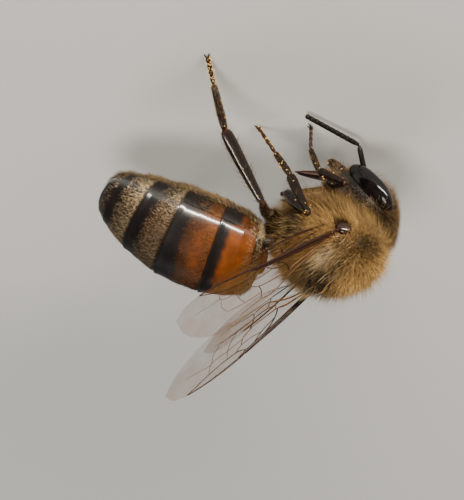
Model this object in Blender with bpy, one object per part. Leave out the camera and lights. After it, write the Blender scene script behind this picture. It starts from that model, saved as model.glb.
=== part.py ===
"""A life-size, still model of a worker honey bee (Apis mellifera) on its six feet.

The head points along -X, the bee's left side is -Y, and the feet rest on Z = 0. Sizes are in millimetres
and become metres in the meshes. Each solid is the outer form of its part, out to the tips of its hairs,
and the gap between neighbours stands for the soft membrane that joins them.
"""

import math

import bmesh
import bpy
import numpy as np
from mathutils import Matrix, Vector

MM = 0.001
MIDDLE_X = 3.871  # the length's middle, measured from the middle of the thorax

# Thorax: at each distance behind its middle, the lowest and highest point and half the width.
THORAX_STATIONS = (
    (-2.32, 5.05, 5.70, 0.40),
    (-2.10, 4.72, 6.20, 0.95),
    (-1.50, 4.28, 6.92, 1.50),
    (-0.80, 3.78, 7.22, 1.80),
    (0.00, 3.08, 7.29, 1.92),
    (0.80, 2.88, 7.15, 1.88),
    (1.50, 3.02, 6.78, 1.70),
    (2.10, 3.62, 6.20, 1.40),
    (2.50, 4.20, 5.80, 1.00),
    (2.72, 4.55, 5.35, 0.55),
)
PETIOLE_ENDS = ((2.83, 0.0, 4.95), (3.06, 0.0, 5.05))
PETIOLE_RADIUS = 0.30

# Abdomen: an arched axis that starts behind the waist and slopes down more and more towards the tip.
ABDOMEN_START = (3.22, 6.02)
ABDOMEN_LENGTH = 7.55
ABDOMEN_SLOPES = (math.radians(9.0), math.radians(39.0))
ABDOMEN_ENDS = (0.0, 0.50, 2.15, 4.00, 5.52, 6.80, 7.55)  # the rings' edges, along the axis
ABDOMEN_STATIONS = (0.0, 0.12, 0.50, 1.10, 2.15, 3.10, 4.00, 5.52, 6.30, 6.80, 7.25, 7.55)
ABDOMEN_RADII = (0.70, 1.15, 1.68, 1.96, 2.12, 2.14, 2.08, 1.76, 1.49, 1.27, 0.98, 0.55)
ABDOMEN_WIDTH = 1.05
ABDOMEN_HEIGHT = 0.97

# Head: an upright oval that leans forward at the top, with an eye on each side.
HEAD_CENTRE = (-1.15, 0.0, 2.63)
HEAD_TILT = math.radians(50.0)  # the face's long axis, up from level
HEAD_HALF = (2.03, 1.92, 0.96)  # along the face, across it, and front to back
HEAD_SIDE = 1.42
EYE_CENTRE_UP = 0.08
EYE_CENTRE_FACE = 0.25
EYE_HALF = (1.45, 0.62, 0.56)

# Antennae and mouth, on the left side.
SCAPE = ((-1.34, -0.68, 1.35), (-0.83, -1.58, 0.52))
FLAGELLUM = ((-0.72, -1.84, 0.47), (1.80, -3.03, 0.31))
ANTENNA_RADIUS = 0.25
MANDIBLE = ((0.06, -0.52, 0.88), (0.42, -0.34, 0.50))
PROBOSCIS = ((0.52, 0.0, 1.36), (1.75, 0.0, 1.16))
MOUTH_RADIUS = 0.25

# Wings: both are swept up and back, the left one a little further out. The hinges are for the left side.
# An outline gives shares of the length and millimetres behind the line of the leading edge.
WING_THICKNESS = 0.50
WING_ALONG = {"left": (7.00, -1.35, 5.70), "right": (6.24, 0.95, 6.22)}
WING_ROLL = {"left": math.radians(20.0), "right": math.radians(-5.0)}
FOREWING_HINGE = (0.12, -2.20, 5.30)
FOREWING_LENGTH = 9.40
FOREWING_OUTLINE = (
    (0.06, 0.05), (0.28, 0.00), (0.62, -0.10), (0.87, -0.02), (1.00, 0.90),
    (0.945, 1.85), (0.80, 2.75), (0.63, 2.95), (0.38, 1.75), (0.16, 0.55), (0.06, 0.38),
)
HINDWING_HINGE = (0.58, -2.12, 4.80)
HINDWING_LENGTH = 6.80
HINDWING_OUTLINE = (
    (0.12, 0.05), (0.35, 0.00), (0.80, 0.10), (1.00, 0.70), (0.92, 1.35),
    (0.62, 1.75), (0.34, 1.20), (0.20, 0.50), (0.12, 0.35),
)
TEGULA_CENTRE = (-0.30, -2.24, 5.22)
TEGULA_HALF = (0.36, 0.25, 0.30)

# Legs: the hip, the end of the hip piece, the knee, the ankle, the heel's end and the foot on the floor.
LEG_JOINTS = {
    "front_left": (
        (0.38, -0.62, 2.62), (0.42, -1.30, 2.34), (-0.02, -2.52, 3.27),
        (1.02, -1.86, 2.30), (1.36, -1.84, 1.20), (1.36, -1.98, 0.0),
    ),
    "front_right": (
        (0.38, 0.62, 2.62), (0.42, 1.30, 2.34), (-0.02, 2.52, 3.27),
        (-0.52, 3.02, 1.90), (-0.80, 3.20, 0.95), (-1.12, 3.45, 0.0),
    ),
    "mid_left": (
        (1.30, -0.72, 2.46), (2.30, -1.02, 3.02), (1.58, -2.36, 4.93),
        (2.35, -2.22, 2.93), (2.92, -1.88, 1.63), (3.60, -1.50, 0.0),
    ),
    "mid_right": (
        (1.30, 0.72, 2.46), (2.30, 1.02, 3.02), (1.58, 2.60, 4.45),
        (1.38, 3.20, 2.50), (1.42, 3.46, 1.20), (1.50, 3.75, 0.0),
    ),
    "hind_left": (
        (2.62, -0.36, 3.72), (3.14, -0.84, 4.08), (3.73, -3.12, 5.20),
        (5.54, -4.20, 2.35), (6.22, -5.30, 0.86), (6.65, -6.20, 0.0),
    ),
    "hind_right": (
        (2.62, 0.36, 3.72), (3.14, 0.84, 4.08), (3.73, 3.12, 5.20),
        (5.54, 4.20, 2.35), (6.22, 5.30, 0.86), (6.65, 6.20, 0.0),
    ),
}
LEG_PIECES = ("coxa", "femur", "tibia", "basitarsus", "tarsus")
# Half the depth and half the thickness of each piece.
LEG_HALVES = {
    "front": ((0.30, 0.30), (0.27, 0.27), (0.26, 0.25), (0.25, 0.25), (0.25, 0.25)),
    "mid": ((0.32, 0.30), (0.28, 0.27), (0.31, 0.27), (0.27, 0.25), (0.25, 0.25)),
    "hind": ((0.32, 0.28), (0.34, 0.29), (0.42, 0.27), (0.38, 0.26), (0.25, 0.25)),
}
LEG_GAP = 0.10
LEG_END = 0.95  # how much of a piece's thickness counts where it folds against the next one

COLOURS = {
    "coat": ((0.36, 0.24, 0.12), 0.9),
    "orange_shell": ((0.55, 0.22, 0.05), 0.4),
    "black_shell": ((0.02, 0.015, 0.012), 0.3),
    "eye": ((0.010, 0.008, 0.010), 0.15),
    "mouth": ((0.14, 0.06, 0.03), 0.4),
    "wing": ((0.42, 0.28, 0.14), 0.3),
}


def material(name):
    """The named material, made the first time that it is asked for."""
    if name in bpy.data.materials:
        return bpy.data.materials[name]
    colour, roughness = COLOURS[name]
    made = bpy.data.materials.new(name)
    made.use_nodes = True
    shader = made.node_tree.nodes["Principled BSDF"]
    shader.inputs["Base Color"].default_value = (*colour, 1.0)
    shader.inputs["Roughness"].default_value = roughness
    shader.inputs["Metallic"].default_value = 0.0
    return made


def to_world(point):
    """A point in the bee's millimetres as a place in metres, with the length's middle at X = 0."""
    return Vector(((point[0] - MIDDLE_X) * MM, point[1] * MM, point[2] * MM))


def add_part(name, mesh, colour):
    """Puts a finished mesh in the bee's collection as one named part."""
    mesh.materials.append(material(colour))
    mesh.shade_smooth()
    mesh.set_sharp_from_angle(angle=math.radians(50.0))
    part = bpy.data.objects.new(name, mesh)
    bee.objects.link(part)
    return part


def frame_along(start, end, up):
    """Unit vectors along a line, across it, and square to both on the side that `up` points to."""
    along = np.subtract(end, start)
    along = along / np.linalg.norm(along)
    across = np.cross(up, along)
    across = across / np.linalg.norm(across)
    return along, across, np.cross(along, across)


def oval(centre, across, above, half_width, half_height, count):
    """Points round an oval, counter-clockwise when seen from the front end of the body."""
    angles = np.linspace(0.0, 2.0 * np.pi, count, endpoint=False)[:, None]
    return (
        np.asarray(centre)
        + np.cos(angles) * half_width * np.asarray(across)
        + np.sin(angles) * half_height * np.asarray(above)
    )


def loft(name, rings, colour, floor=None):
    """One closed body through rings of as many points each, with a fan at each end."""
    rings = np.array(rings)
    if floor is not None:
        rings[..., 2] = np.maximum(rings[..., 2], floor)
    count = rings.shape[1]
    points = [tuple(to_world(point)) for point in rings.reshape(-1, 3)]
    first = len(points)
    points.append(tuple(to_world(rings[0].mean(axis=0))))
    points.append(tuple(to_world(rings[-1].mean(axis=0))))
    faces = []
    for ring in range(len(rings) - 1):
        for side in range(count):
            after = (side + 1) % count
            low, high = ring * count, (ring + 1) * count
            faces.append((low + side, low + after, high + after, high + side))
    last = (len(rings) - 1) * count
    for side in range(count):
        after = (side + 1) % count
        faces.append((first, after, side))
        faces.append((first + 1, last + side, last + after))
    mesh = bpy.data.meshes.new(name)
    mesh.from_pydata(points, [], faces)
    turned = bmesh.new()
    turned.from_mesh(mesh)
    bmesh.ops.recalc_face_normals(turned, faces=turned.faces)
    turned.to_mesh(mesh)
    turned.free()
    return add_part(name, mesh, colour)


# A limb piece's thickness along its length: it is fullest in the middle and round at both ends.
LIMB_SWELL = ((0.0, 0.62), (0.07, 0.86), (0.30, 1.0), (0.72, 0.98), (0.93, 0.84), (1.0, 0.60))


def limb(name, start, end, halves, colour, trims, count=10, floor=None):
    """A rounded piece from one joint to the next, shortened at both ends."""
    along, across, above = frame_along(start, end, (0.0, 0.0, 1.0))
    first = np.asarray(start) + along * trims[0]
    last = np.asarray(end) - along * trims[1]
    rings = []
    for place, swell in LIMB_SWELL:
        centre = first + (last - first) * place
        rings.append(oval(centre, across, above, halves[1] * swell, halves[0] * swell, count))
    return loft(name, rings, colour, floor)


def rounded(name, centre, halves, turn, colour, cuts=(), steps=(20, 12)):
    """A sphere stretched to an oval, cut flat by planes given in its own axes, then turned and placed."""
    shape = bmesh.new()
    bmesh.ops.create_uvsphere(shape, u_segments=steps[0], v_segments=steps[1], radius=1.0)
    bmesh.ops.transform(shape, matrix=Matrix.Diagonal((*halves, 1.0)), verts=shape.verts)
    for place, facing in cuts:
        parts = shape.verts[:] + shape.edges[:] + shape.faces[:]
        bmesh.ops.bisect_plane(shape, geom=parts, plane_co=place, plane_no=facing, clear_outer=True)
        bmesh.ops.holes_fill(shape, edges=shape.edges)
    bmesh.ops.transform(shape, matrix=Matrix.Scale(MM, 4), verts=shape.verts)
    bmesh.ops.transform(shape, matrix=Matrix.Translation(to_world(centre)) @ turn, verts=shape.verts)
    bmesh.ops.recalc_face_normals(shape, faces=shape.faces)
    mesh = bpy.data.meshes.new(name)
    shape.to_mesh(mesh)
    shape.free()
    return add_part(name, mesh, colour)


def mirrored(point, side):
    """The point for the side asked for, where a point given for the left side has a negative Y."""
    return (point[0], point[1] * (1.0 if side == "left" else -1.0), point[2])


def make_thorax():
    """The middle body, with its short neck face at the front and the slope to the waist behind."""
    rings = []
    for x, low, high, half_width in THORAX_STATIONS:
        centre = (x, 0.0, (low + high) / 2.0)
        rings.append(oval(centre, (0, 1, 0), (0, 0, 1), half_width, (high - low) / 2.0, 22))
    loft("thorax", rings, "coat")
    start, end = PETIOLE_ENDS
    along, across, above = frame_along(start, end, (0.0, 0.0, 1.0))
    waist = [oval(place, across, above, PETIOLE_RADIUS, PETIOLE_RADIUS, 12) for place in (start, end)]
    loft("petiole", waist, "black_shell")


def abdomen_place(distance):
    """The axis point and its slope at a distance behind the waist: an arc, whose slope grows evenly."""
    first, last = ABDOMEN_SLOPES
    bend = (last - first) / ABDOMEN_LENGTH
    slope = first + bend * distance
    x = ABDOMEN_START[0] + (math.sin(slope) - math.sin(first)) / bend
    z = ABDOMEN_START[1] + (math.cos(slope) - math.cos(first)) / bend
    return (x, 0.0, z), slope


def make_abdomen():
    """Six rings of shell, each a short barrel that meets the next across a narrow joint."""
    gap = 0.10
    for number in range(1, len(ABDOMEN_ENDS)):
        front = ABDOMEN_ENDS[number - 1] + (gap / 2.0 if number > 1 else 0.0)
        back = ABDOMEN_ENDS[number] - gap / 2.0
        within = [place for place in ABDOMEN_STATIONS if front < place < back]
        rings = []
        for distance in (front, *within, back):
            centre, slope = abdomen_place(distance)
            radius = np.interp(distance, ABDOMEN_STATIONS, ABDOMEN_RADII)
            above = (math.sin(slope), 0.0, math.cos(slope))
            rings.append(
                oval(centre, (0, 1, 0), above, radius * ABDOMEN_WIDTH, radius * ABDOMEN_HEIGHT, 24)
            )
        loft(f"abdomen_{number}", rings, "orange_shell" if number < 4 else "black_shell")


def make_head():
    """The head capsule with flat sides, and an eye that bulges from each of them."""
    turn = Matrix.Rotation(HEAD_TILT, 4, "Y")
    cuts = (((0, HEAD_SIDE, 0), (0, 1, 0)), ((0, -HEAD_SIDE, 0), (0, -1, 0)))
    rounded("head", HEAD_CENTRE, HEAD_HALF, turn, "coat", cuts, steps=(24, 14))
    for side in ("left", "right"):
        outward = -1.0 if side == "left" else 1.0
        centre = (
            HEAD_CENTRE[0] - EYE_CENTRE_UP * math.cos(HEAD_TILT) - EYE_CENTRE_FACE * math.sin(HEAD_TILT),
            outward * (HEAD_SIDE + 0.10),
            HEAD_CENTRE[2] + EYE_CENTRE_UP * math.sin(HEAD_TILT) - EYE_CENTRE_FACE * math.cos(HEAD_TILT),
        )
        inner = (((0, 0, 0), (0, -outward, 0)),)
        rounded(f"eye_{side}", centre, EYE_HALF, turn, "eye", inner, steps=(20, 12))


def make_feelers_and_mouth():
    """The two-part antennae, the jaws, and the tongue folded back under the head."""
    for side in ("left", "right"):
        for name, ends in (("scape", SCAPE), ("flagellum", FLAGELLUM)):
            start, end = (mirrored(point, side) for point in ends)
            halves = (ANTENNA_RADIUS, ANTENNA_RADIUS)
            limb(f"{name}_{side}", start, end, halves, "black_shell", (0.0, 0.0), count=8)
        start, end = (mirrored(point, side) for point in MANDIBLE)
        limb(f"mandible_{side}", start, end, (MOUTH_RADIUS, MOUTH_RADIUS), "mouth", (0.0, 0.0))
    limb("proboscis", *PROBOSCIS, (MOUTH_RADIUS, MOUTH_RADIUS), "mouth", (0.0, 0.0))


def clearance(before, joint, after, half):
    """How far each of two pieces stops short of their joint: further, the sharper they are folded."""
    inward = np.subtract(before, joint)
    outward = np.subtract(after, joint)
    cosine = np.dot(inward, outward) / np.linalg.norm(inward) / np.linalg.norm(outward)
    half_angle = math.acos(cosine) / 2.0
    return LEG_GAP / 2.0 / math.sin(half_angle) + half * LEG_END / math.tan(half_angle)


def make_leg(leg, joints):
    """One leg of five pieces. The last piece ends in a small flat on the floor."""
    pair = leg.split("_")[0]
    trims = [LEG_GAP / 2.0]
    for number in range(1, len(LEG_PIECES)):
        thickest = max(LEG_HALVES[pair][number - 1][1], LEG_HALVES[pair][number][1])
        trims.append(clearance(joints[number - 1], joints[number], joints[number + 1], thickest))
    trims.append(0.0)
    for number, piece in enumerate(LEG_PIECES):
        start, end = joints[number], joints[number + 1]
        floor = 0.0 if piece == "tarsus" else None
        ends = (trims[number], trims[number + 1])
        halves = LEG_HALVES[pair][number]
        limb(f"{piece}_{leg}", start, end, halves, "black_shell", ends, floor=floor)


def make_wing(name, hinge, length, outline, side):
    """A flat blade. Its outline runs from the hinge along the leading edge and back behind it."""
    along = Vector(WING_ALONG[side]).normalized()
    level = Vector((0.0, 0.0, 1.0)).cross(along).normalized()
    if side == "right":
        level = -level
    above = along.cross(level) if side == "left" else level.cross(along)
    behind = level * math.cos(WING_ROLL[side]) + above * math.sin(WING_ROLL[side])
    blade = bpy.data.curves.new(name, "CURVE")
    blade.dimensions = "2D"
    blade.fill_mode = "BOTH"
    blade.extrude = WING_THICKNESS / 2.0 * MM
    blade.resolution_u = 3
    spline = blade.splines.new("BEZIER")
    spline.use_cyclic_u = True
    spline.bezier_points.add(len(outline) - 1)
    for point, (reach, back) in zip(spline.bezier_points, outline):
        point.co = (reach * length * MM, back * MM, 0.0)
        point.handle_left_type = point.handle_right_type = "AUTO"
    blade.materials.append(material("wing"))
    wing = bpy.data.objects.new(name, blade)
    turn = Matrix((along, behind, along.cross(behind))).transposed().to_4x4()
    wing.matrix_world = Matrix.Translation(to_world(mirrored(hinge, side))) @ turn
    bee.objects.link(wing)


def make_wings():
    """A forewing and a hindwing on each side, and the little shell plate over each hinge."""
    for side in ("left", "right"):
        make_wing(f"forewing_{side}", FOREWING_HINGE, FOREWING_LENGTH, FOREWING_OUTLINE, side)
        make_wing(f"hindwing_{side}", HINDWING_HINGE, HINDWING_LENGTH, HINDWING_OUTLINE, side)
        centre = mirrored(TEGULA_CENTRE, side)
        rounded(f"tegula_{side}", centre, TEGULA_HALF, Matrix(), "black_shell", steps=(12, 8))


for old in list(bpy.data.objects):
    bpy.data.objects.remove(old, do_unlink=True)
bee = bpy.data.collections.new("honey_bee")
bpy.context.scene.collection.children.link(bee)
make_thorax()
make_abdomen()
make_head()
make_feelers_and_mouth()
for leg_name, leg_joints in LEG_JOINTS.items():
    make_leg(leg_name, leg_joints)
make_wings()
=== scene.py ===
import math

import bpy
import numpy as np
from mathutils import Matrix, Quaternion, Vector


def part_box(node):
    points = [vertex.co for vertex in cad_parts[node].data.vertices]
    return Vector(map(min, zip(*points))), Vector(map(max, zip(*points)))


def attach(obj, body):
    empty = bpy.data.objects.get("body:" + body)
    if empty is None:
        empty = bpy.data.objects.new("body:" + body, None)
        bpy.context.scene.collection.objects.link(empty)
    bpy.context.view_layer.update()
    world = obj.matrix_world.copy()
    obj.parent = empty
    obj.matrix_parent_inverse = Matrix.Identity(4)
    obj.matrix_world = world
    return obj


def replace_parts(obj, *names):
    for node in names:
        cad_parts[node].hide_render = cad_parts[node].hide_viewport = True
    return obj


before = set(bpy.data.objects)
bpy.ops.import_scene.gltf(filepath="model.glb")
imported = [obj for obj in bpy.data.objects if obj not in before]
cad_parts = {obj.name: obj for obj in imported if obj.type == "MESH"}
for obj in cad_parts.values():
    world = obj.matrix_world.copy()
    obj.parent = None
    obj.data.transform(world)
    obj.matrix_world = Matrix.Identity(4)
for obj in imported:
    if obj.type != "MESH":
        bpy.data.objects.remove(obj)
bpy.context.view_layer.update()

# The camera looks at the bee's left side from above and a little behind, and is held upside down,
# because the bee hangs with its feet towards the top of the view. A long lens keeps the sides parallel.
# The bee's sizes are millimetres from a point on the floor under the chest's middle.
MM = 0.001
CHEST_AHEAD = 2.32  # the solid chest starts this far before its own middle, where x is 0
middle = np.array([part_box("thorax")[0][0] / MM + CHEST_AHEAD, 0.0, 0.0])
CAMERA_TURN = math.radians(10.0)
CAMERA_RISE = math.radians(34.0)
CAMERA_REACH = 200.0 * MM
VIEW_HEIGHT = 21.5 * MM
SENSOR_WIDTH = 36.0
AIM = np.array([4.496, 0.0, 5.61])
aim = Vector((AIM + middle) * MM)
towards_camera = Vector((
    math.sin(CAMERA_TURN) * math.cos(CAMERA_RISE),
    -math.cos(CAMERA_TURN) * math.cos(CAMERA_RISE),
    math.sin(CAMERA_RISE),
))
lens = bpy.data.cameras.new("camera")
lens.lens = SENSOR_WIDTH * CAMERA_REACH / VIEW_HEIGHT
lens.sensor_width = SENSOR_WIDTH
lens.clip_start = CAMERA_REACH / 20
lens.clip_end = CAMERA_REACH * 50
camera = bpy.data.objects.new("camera", lens)
camera.location = aim + towards_camera * CAMERA_REACH
camera.rotation_mode = "QUATERNION"
upright_turn = (-towards_camera).to_track_quat("-Z", "Y")
camera.rotation_quaternion = upright_turn @ Quaternion((0.0, 0.0, 1.0), math.pi)
bpy.context.scene.collection.objects.link(camera)
bpy.context.scene.camera = camera

# The room is a plain pale floor under soft lamps: a long low strip in front, one overhead, and a weak one
# behind, with pale walls all round for the shiny parts to reflect.
FLOOR_COLOUR = (0.72, 0.70, 0.66, 1.0)
FLOOR_HALF = 400.0 * MM
WALL_COLOUR = (0.90, 0.95, 1.0, 1.0)
WALL_STRENGTH = 0.08


def fill(node, sockets):
    """Each named or numbered socket of a node takes a value, or a link from another node's output."""
    for name, given in sockets.items():
        if isinstance(given, bpy.types.NodeSocket):
            node.id_data.links.new(given, node.inputs[name])
        else:
            node.inputs[name].default_value = given
    return node


def new_material(name, sockets):
    """A material with one Principled shader, whose sockets are filled: itself, its tree and the shader."""
    made = bpy.data.materials.new(name)
    made.use_nodes = True
    return made, made.node_tree, fill(made.node_tree.nodes["Principled BSDF"], sockets)


corners = [(-FLOOR_HALF, -FLOOR_HALF, 0.0), (FLOOR_HALF, -FLOOR_HALF, 0.0),
           (FLOOR_HALF, FLOOR_HALF, 0.0), (-FLOOR_HALF, FLOOR_HALF, 0.0)]
floor_mesh = bpy.data.meshes.new("floor")
floor_mesh.from_pydata(corners, [], [(0, 1, 2, 3)])
floor_mesh.materials.append(new_material("floor_paper", {"Base Color": FLOOR_COLOUR, "Roughness": 0.85})[0])
floor = bpy.data.objects.new("floor", floor_mesh)
bpy.context.scene.collection.objects.link(floor)


def soft_lamp(name, turn, rise, reach, size, watts, colour):
    """An oval lamp, of a width and a height, that shines at the bee from a turn about the upright and a
    rise above the floor, in degrees."""
    turn = math.radians(turn)
    rise = math.radians(rise)
    away = Vector((math.sin(turn) * math.cos(rise), -math.cos(turn) * math.cos(rise), math.sin(rise)))
    made = bpy.data.lights.new(name, "AREA")
    made.shape = "ELLIPSE"
    made.size, made.size_y = size
    made.energy = watts
    made.color = colour
    lamp = bpy.data.objects.new(name, made)
    lamp.location = aim + away * reach
    lamp.rotation_mode = "QUATERNION"
    lamp.rotation_quaternion = (-away).to_track_quat("-Z", "Y")
    bpy.context.scene.collection.objects.link(lamp)


soft_lamp("key_lamp", -8.0, 9.0, 0.30, (0.40, 0.024), 2.7, (1.0, 0.93, 0.82))
soft_lamp("top_lamp", 35.0, 62.0, 0.35, (0.16, 0.16), 0.68, (1.0, 0.98, 0.95))
soft_lamp("back_lamp", 160.0, 40.0, 0.35, (0.20, 0.20), 0.30, (0.95, 0.97, 1.0))
room = bpy.data.worlds.new("room")
room.use_nodes = True
fill(room.node_tree.nodes["Background"], {"Color": WALL_COLOUR, "Strength": WALL_STRENGTH})
bpy.context.scene.world = room

# The thorax is a ball of dark brown shell, high behind the head and steep down to the waist. It is one
# piece with the narrow waist and the neck, and all of it lies under the coat.
THORAX_CENTRE = 0.36
THORAX_HALF = 2.34
THORAX_PLACES = np.array([-1.0, -0.88, -0.67, -0.41, -0.15, 0.10, 0.36, 0.62, 0.83, 1.0])
THORAX_HEIGHTS = np.array([1.25, 1.37, 1.51, 1.63, 1.78, 1.82, 1.82, 1.71, 1.65, 1.55])
THORAX_WIDTHS = np.array([2.00, 2.00, 1.95, 1.81, 1.77, 1.76, 1.77, 1.78, 1.88, 1.90])
THORAX_MIDDLES = np.array([5.15, 5.20, 5.22, 5.14, 4.96, 4.87, 4.80, 4.75, 4.83, 4.90])


def smooth(at, places, values):
    """Values between given places: each stretch is a cubic that meets its neighbours at the same slopes."""
    slopes = np.gradient(values, places)
    at = np.clip(at, places[0], places[-1])
    index = np.clip(np.searchsorted(places, at) - 1, 0, len(places) - 2)
    span = places[index + 1] - places[index]
    t = (at - places[index]) / span
    first = (1 + 2 * t) * (1 - t) ** 2 * values[index] + t * (1 - t) ** 2 * span * slopes[index]
    return first + t * t * (3 - 2 * t) * values[index + 1] + t * t * (t - 1) * span * slopes[index + 1]


def thorax_surface(u, v):
    """The skin at u from front to back and v once round from the top by the left. Each cross-section is an
    oval, whose size is the ends' half circle times the form's own width and height there."""
    place = -np.cos(np.pi * u)
    round_end = np.sin(np.pi * u)
    turn = 2 * np.pi * v
    furrow = 0.05 * np.exp(-((place - 0.33) / 0.035) ** 2) * np.clip(np.cos(turn), 0, 1)
    height = smooth(place, THORAX_PLACES, THORAX_HEIGHTS) * round_end - furrow
    width = smooth(place, THORAX_PLACES, THORAX_WIDTHS) * round_end
    x = THORAX_CENTRE + THORAX_HALF * place
    y = -np.sin(turn) * width
    z = smooth(place, THORAX_PLACES, THORAX_MIDDLES) + np.cos(turn) * height
    return np.stack([x, y, z], axis=-1)


def wrapped(surface, along, around):
    """Points, triangles and (u, v) of a closed surface, whose two ends are each drawn to one point."""
    u, v = np.meshgrid(np.arange(along + 1) / along, np.arange(around) / around, indexing="ij")
    grid = surface(u, v)
    points = np.vstack([grid[1:-1].reshape(-1, 3), grid[0].mean(axis=0), grid[-1].mean(axis=0)])
    spots = np.vstack([
        np.stack([u, v], axis=-1)[1:-1].reshape(-1, 2), [[0.0, 0.5]], [[1.0, 0.5]],
    ])
    here = np.arange((along - 1) * around).reshape(along - 1, around)
    after = np.roll(here, -1, axis=1)
    squares = np.stack([here[:-1], after[:-1], after[1:], here[1:]], axis=-1).reshape(-1, 4)
    first = np.full(around, len(points) - 2)
    last = np.full(around, len(points) - 1)
    faces = np.vstack([
        squares[:, [0, 1, 2]],
        squares[:, [0, 2, 3]],
        np.stack([first, after[0], here[0]], axis=-1),
        np.stack([last, here[-1], after[-1]], axis=-1),
    ])
    a, b, c = points[faces[:, 0]], points[faces[:, 1]], points[faces[:, 2]]
    if np.einsum("ij,ij->", a, np.cross(b, c)) < 0:
        faces = faces[:, ::-1]
    return points, faces, spots


def joined(parts):
    """Several meshes as one. Each is points, triangles, and other arrays with a row for each point."""
    columns = [np.vstack(column) for column in zip(*parts)]
    starts = np.cumsum([0] + [len(part[0]) for part in parts[:-1]])
    columns[1] = np.vstack([part[1] + start for part, start in zip(parts, starts)])
    return columns


def build(name, shape, finish, colours=None, patches=None):
    """One piece from a shape's points, in the bee's millimetres, and triangles. Each point can have a
    colour, with its gloss from 0 to 1 as a fourth number, and a place on the map of patches."""
    points, faces = shape[:2]
    mesh = bpy.data.meshes.new(name)
    mesh.vertices.add(len(points))
    mesh.vertices.foreach_set("co", ((points + middle) * MM).astype(np.float32).ravel())
    mesh.loops.add(faces.size)
    mesh.loops.foreach_set("vertex_index", faces.astype(np.int32).ravel())
    mesh.polygons.add(len(faces))
    mesh.polygons.foreach_set("loop_start", np.arange(0, faces.size, 3, dtype=np.int32))
    mesh.update(calc_edges=True)
    if colours is not None:
        painted = np.ones((len(points), 4), np.float32)
        painted[:, :colours.shape[1]] = colours
        mesh.color_attributes.new("marking", "FLOAT_COLOR", "POINT")
        mesh.color_attributes["marking"].data.foreach_set("color", painted.ravel())
    if patches is not None:
        mesh.uv_layers.new(name="OFBake")
        mesh.uv_layers["OFBake"].data.foreach_set("uv", patches[faces].astype(np.float32).ravel())
    mesh.shade_smooth()
    mesh.materials.append(finish)
    piece = bpy.data.objects.new(name, mesh)
    bpy.context.scene.collection.objects.link(piece)
    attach(piece, "root")
    return piece


def add_node(tree, kind, sockets, **settings):
    """A new shader node of a kind, with its settings, and its sockets filled."""
    node = tree.nodes.new("ShaderNode" + kind)
    for name, setting in settings.items():
        setattr(node, name, setting)
    return fill(node, sockets)


def grain_group():
    """Fine shell: a net of tiny cells with soft pits. It gives a height, and a shade near 1 to tint by."""
    group = bpy.data.node_groups.new("shell_grain", "ShaderNodeTree")
    for name, way in (("Cells", "INPUT"), ("Blotch", "INPUT"), ("Height", "OUTPUT"), ("Shade", "OUTPUT")):
        group.interface.new_socket(name, in_out=way, socket_type="NodeSocketFloat")
    given = group.nodes.new("NodeGroupInput")
    where = add_node(group, "TexCoord", {}).outputs["Object"]
    cells = {"Vector": where, "Scale": given.outputs["Cells"]}
    net = add_node(group, "TexVoronoi", cells, feature="DISTANCE_TO_EDGE")
    pits = add_node(group, "TexNoise", {**cells, "Detail": 4.0})
    walls = add_node(group, "Math", {0: net.outputs["Distance"], 1: 0.12}, operation="MINIMUM")
    height = add_node(group, "Math", {
        0: walls.outputs[0], 1: 4.0, 2: pits.outputs["Fac"],
    }, operation="MULTIPLY_ADD")
    cloud = add_node(group, "TexNoise", {"Vector": where, "Scale": given.outputs["Blotch"], "Detail": 3.0})
    shade = add_node(group, "MapRange", {
        "Value": cloud.outputs["Fac"], "From Min": 0.3, "From Max": 0.7, "To Min": 0.72, "To Max": 1.22,
    })
    fill(group.nodes.new("NodeGroupOutput"), {"Height": height.outputs[0], "Shade": shade.outputs["Result"]})
    return group


shell_grain = grain_group()


def grained(tree, shader, cells, blotch, colour):
    """Puts the grain in a material. The shader's colour is the given one times the grain's shade."""
    grain = add_node(tree, "Group", {}, node_tree=shell_grain)
    fill(grain, {"Cells": cells, "Blotch": blotch})
    tinted = add_node(tree, "VectorMath", {0: colour, 1: grain.outputs["Shade"]}, operation="MULTIPLY")
    fill(shader, {"Base Color": tinted.outputs[0]})
    return grain


def shell_finish(name, roughness, cells, blotch, bump, coat, colour=None, dull=None, wax=(0.17, 1.36, 0.12)):
    """Insect shell: its marking or one colour, blotched, over a fine net of cells, under a clear layer of
    wax. Wax is the shell's specular level, and the wax's own IOR and roughness. With a dull roughness, that
    is the roughness where the marking's gloss is 0, and the wax is only where it is 1."""
    made, tree, shader = new_material(name, {
        "Roughness": roughness, "Specular IOR Level": wax[0],
        "Coat Weight": coat, "Coat IOR": wax[1], "Coat Roughness": wax[2],
    })
    if colour is None:
        paint = add_node(tree, "Attribute", {}, attribute_name="marking").outputs
        colour = paint["Color"]
    grain = grained(tree, shader, cells, blotch, colour)
    if dull is not None:
        for socket, least, most in (("Roughness", dull, roughness), ("Coat Weight", 0.0, coat)):
            polish = add_node(tree, "MapRange", {"Value": paint["Alpha"], "To Min": least, "To Max": most})
            fill(shader, {socket: polish.outputs["Result"]})
    relief = add_node(tree, "Bump", {"Strength": 0.6, "Distance": bump, "Height": grain.outputs["Height"]})
    fill(shader, {"Normal": relief.outputs["Normal"]})
    return made


THORAX_SHELL = np.array([0.030, 0.018, 0.010])
dark_shell = shell_finish("dark_body_shell", 0.42, 30000.0, 1500.0, 0.004 * MM, 0.2)
waist_low, waist_high = (np.array(corner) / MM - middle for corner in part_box("petiole"))


def waist_surface(u, v):
    """A short collar between the thorax and the abdomen: an oval tube that runs into both."""
    turn = 2 * np.pi * v
    reach = waist_low[0] - 0.35 + (waist_high[0] - waist_low[0] + 0.75) * u
    size = 0.27 * (1 + 0.5 * (2 * u - 1) ** 2) * np.clip(8 * u * (1 - u), 0, 1) ** 0.5
    rise = (waist_low[2] + waist_high[2]) / 2
    return np.stack([reach, -np.sin(turn) * size, rise + np.cos(turn) * size], axis=-1)


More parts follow.
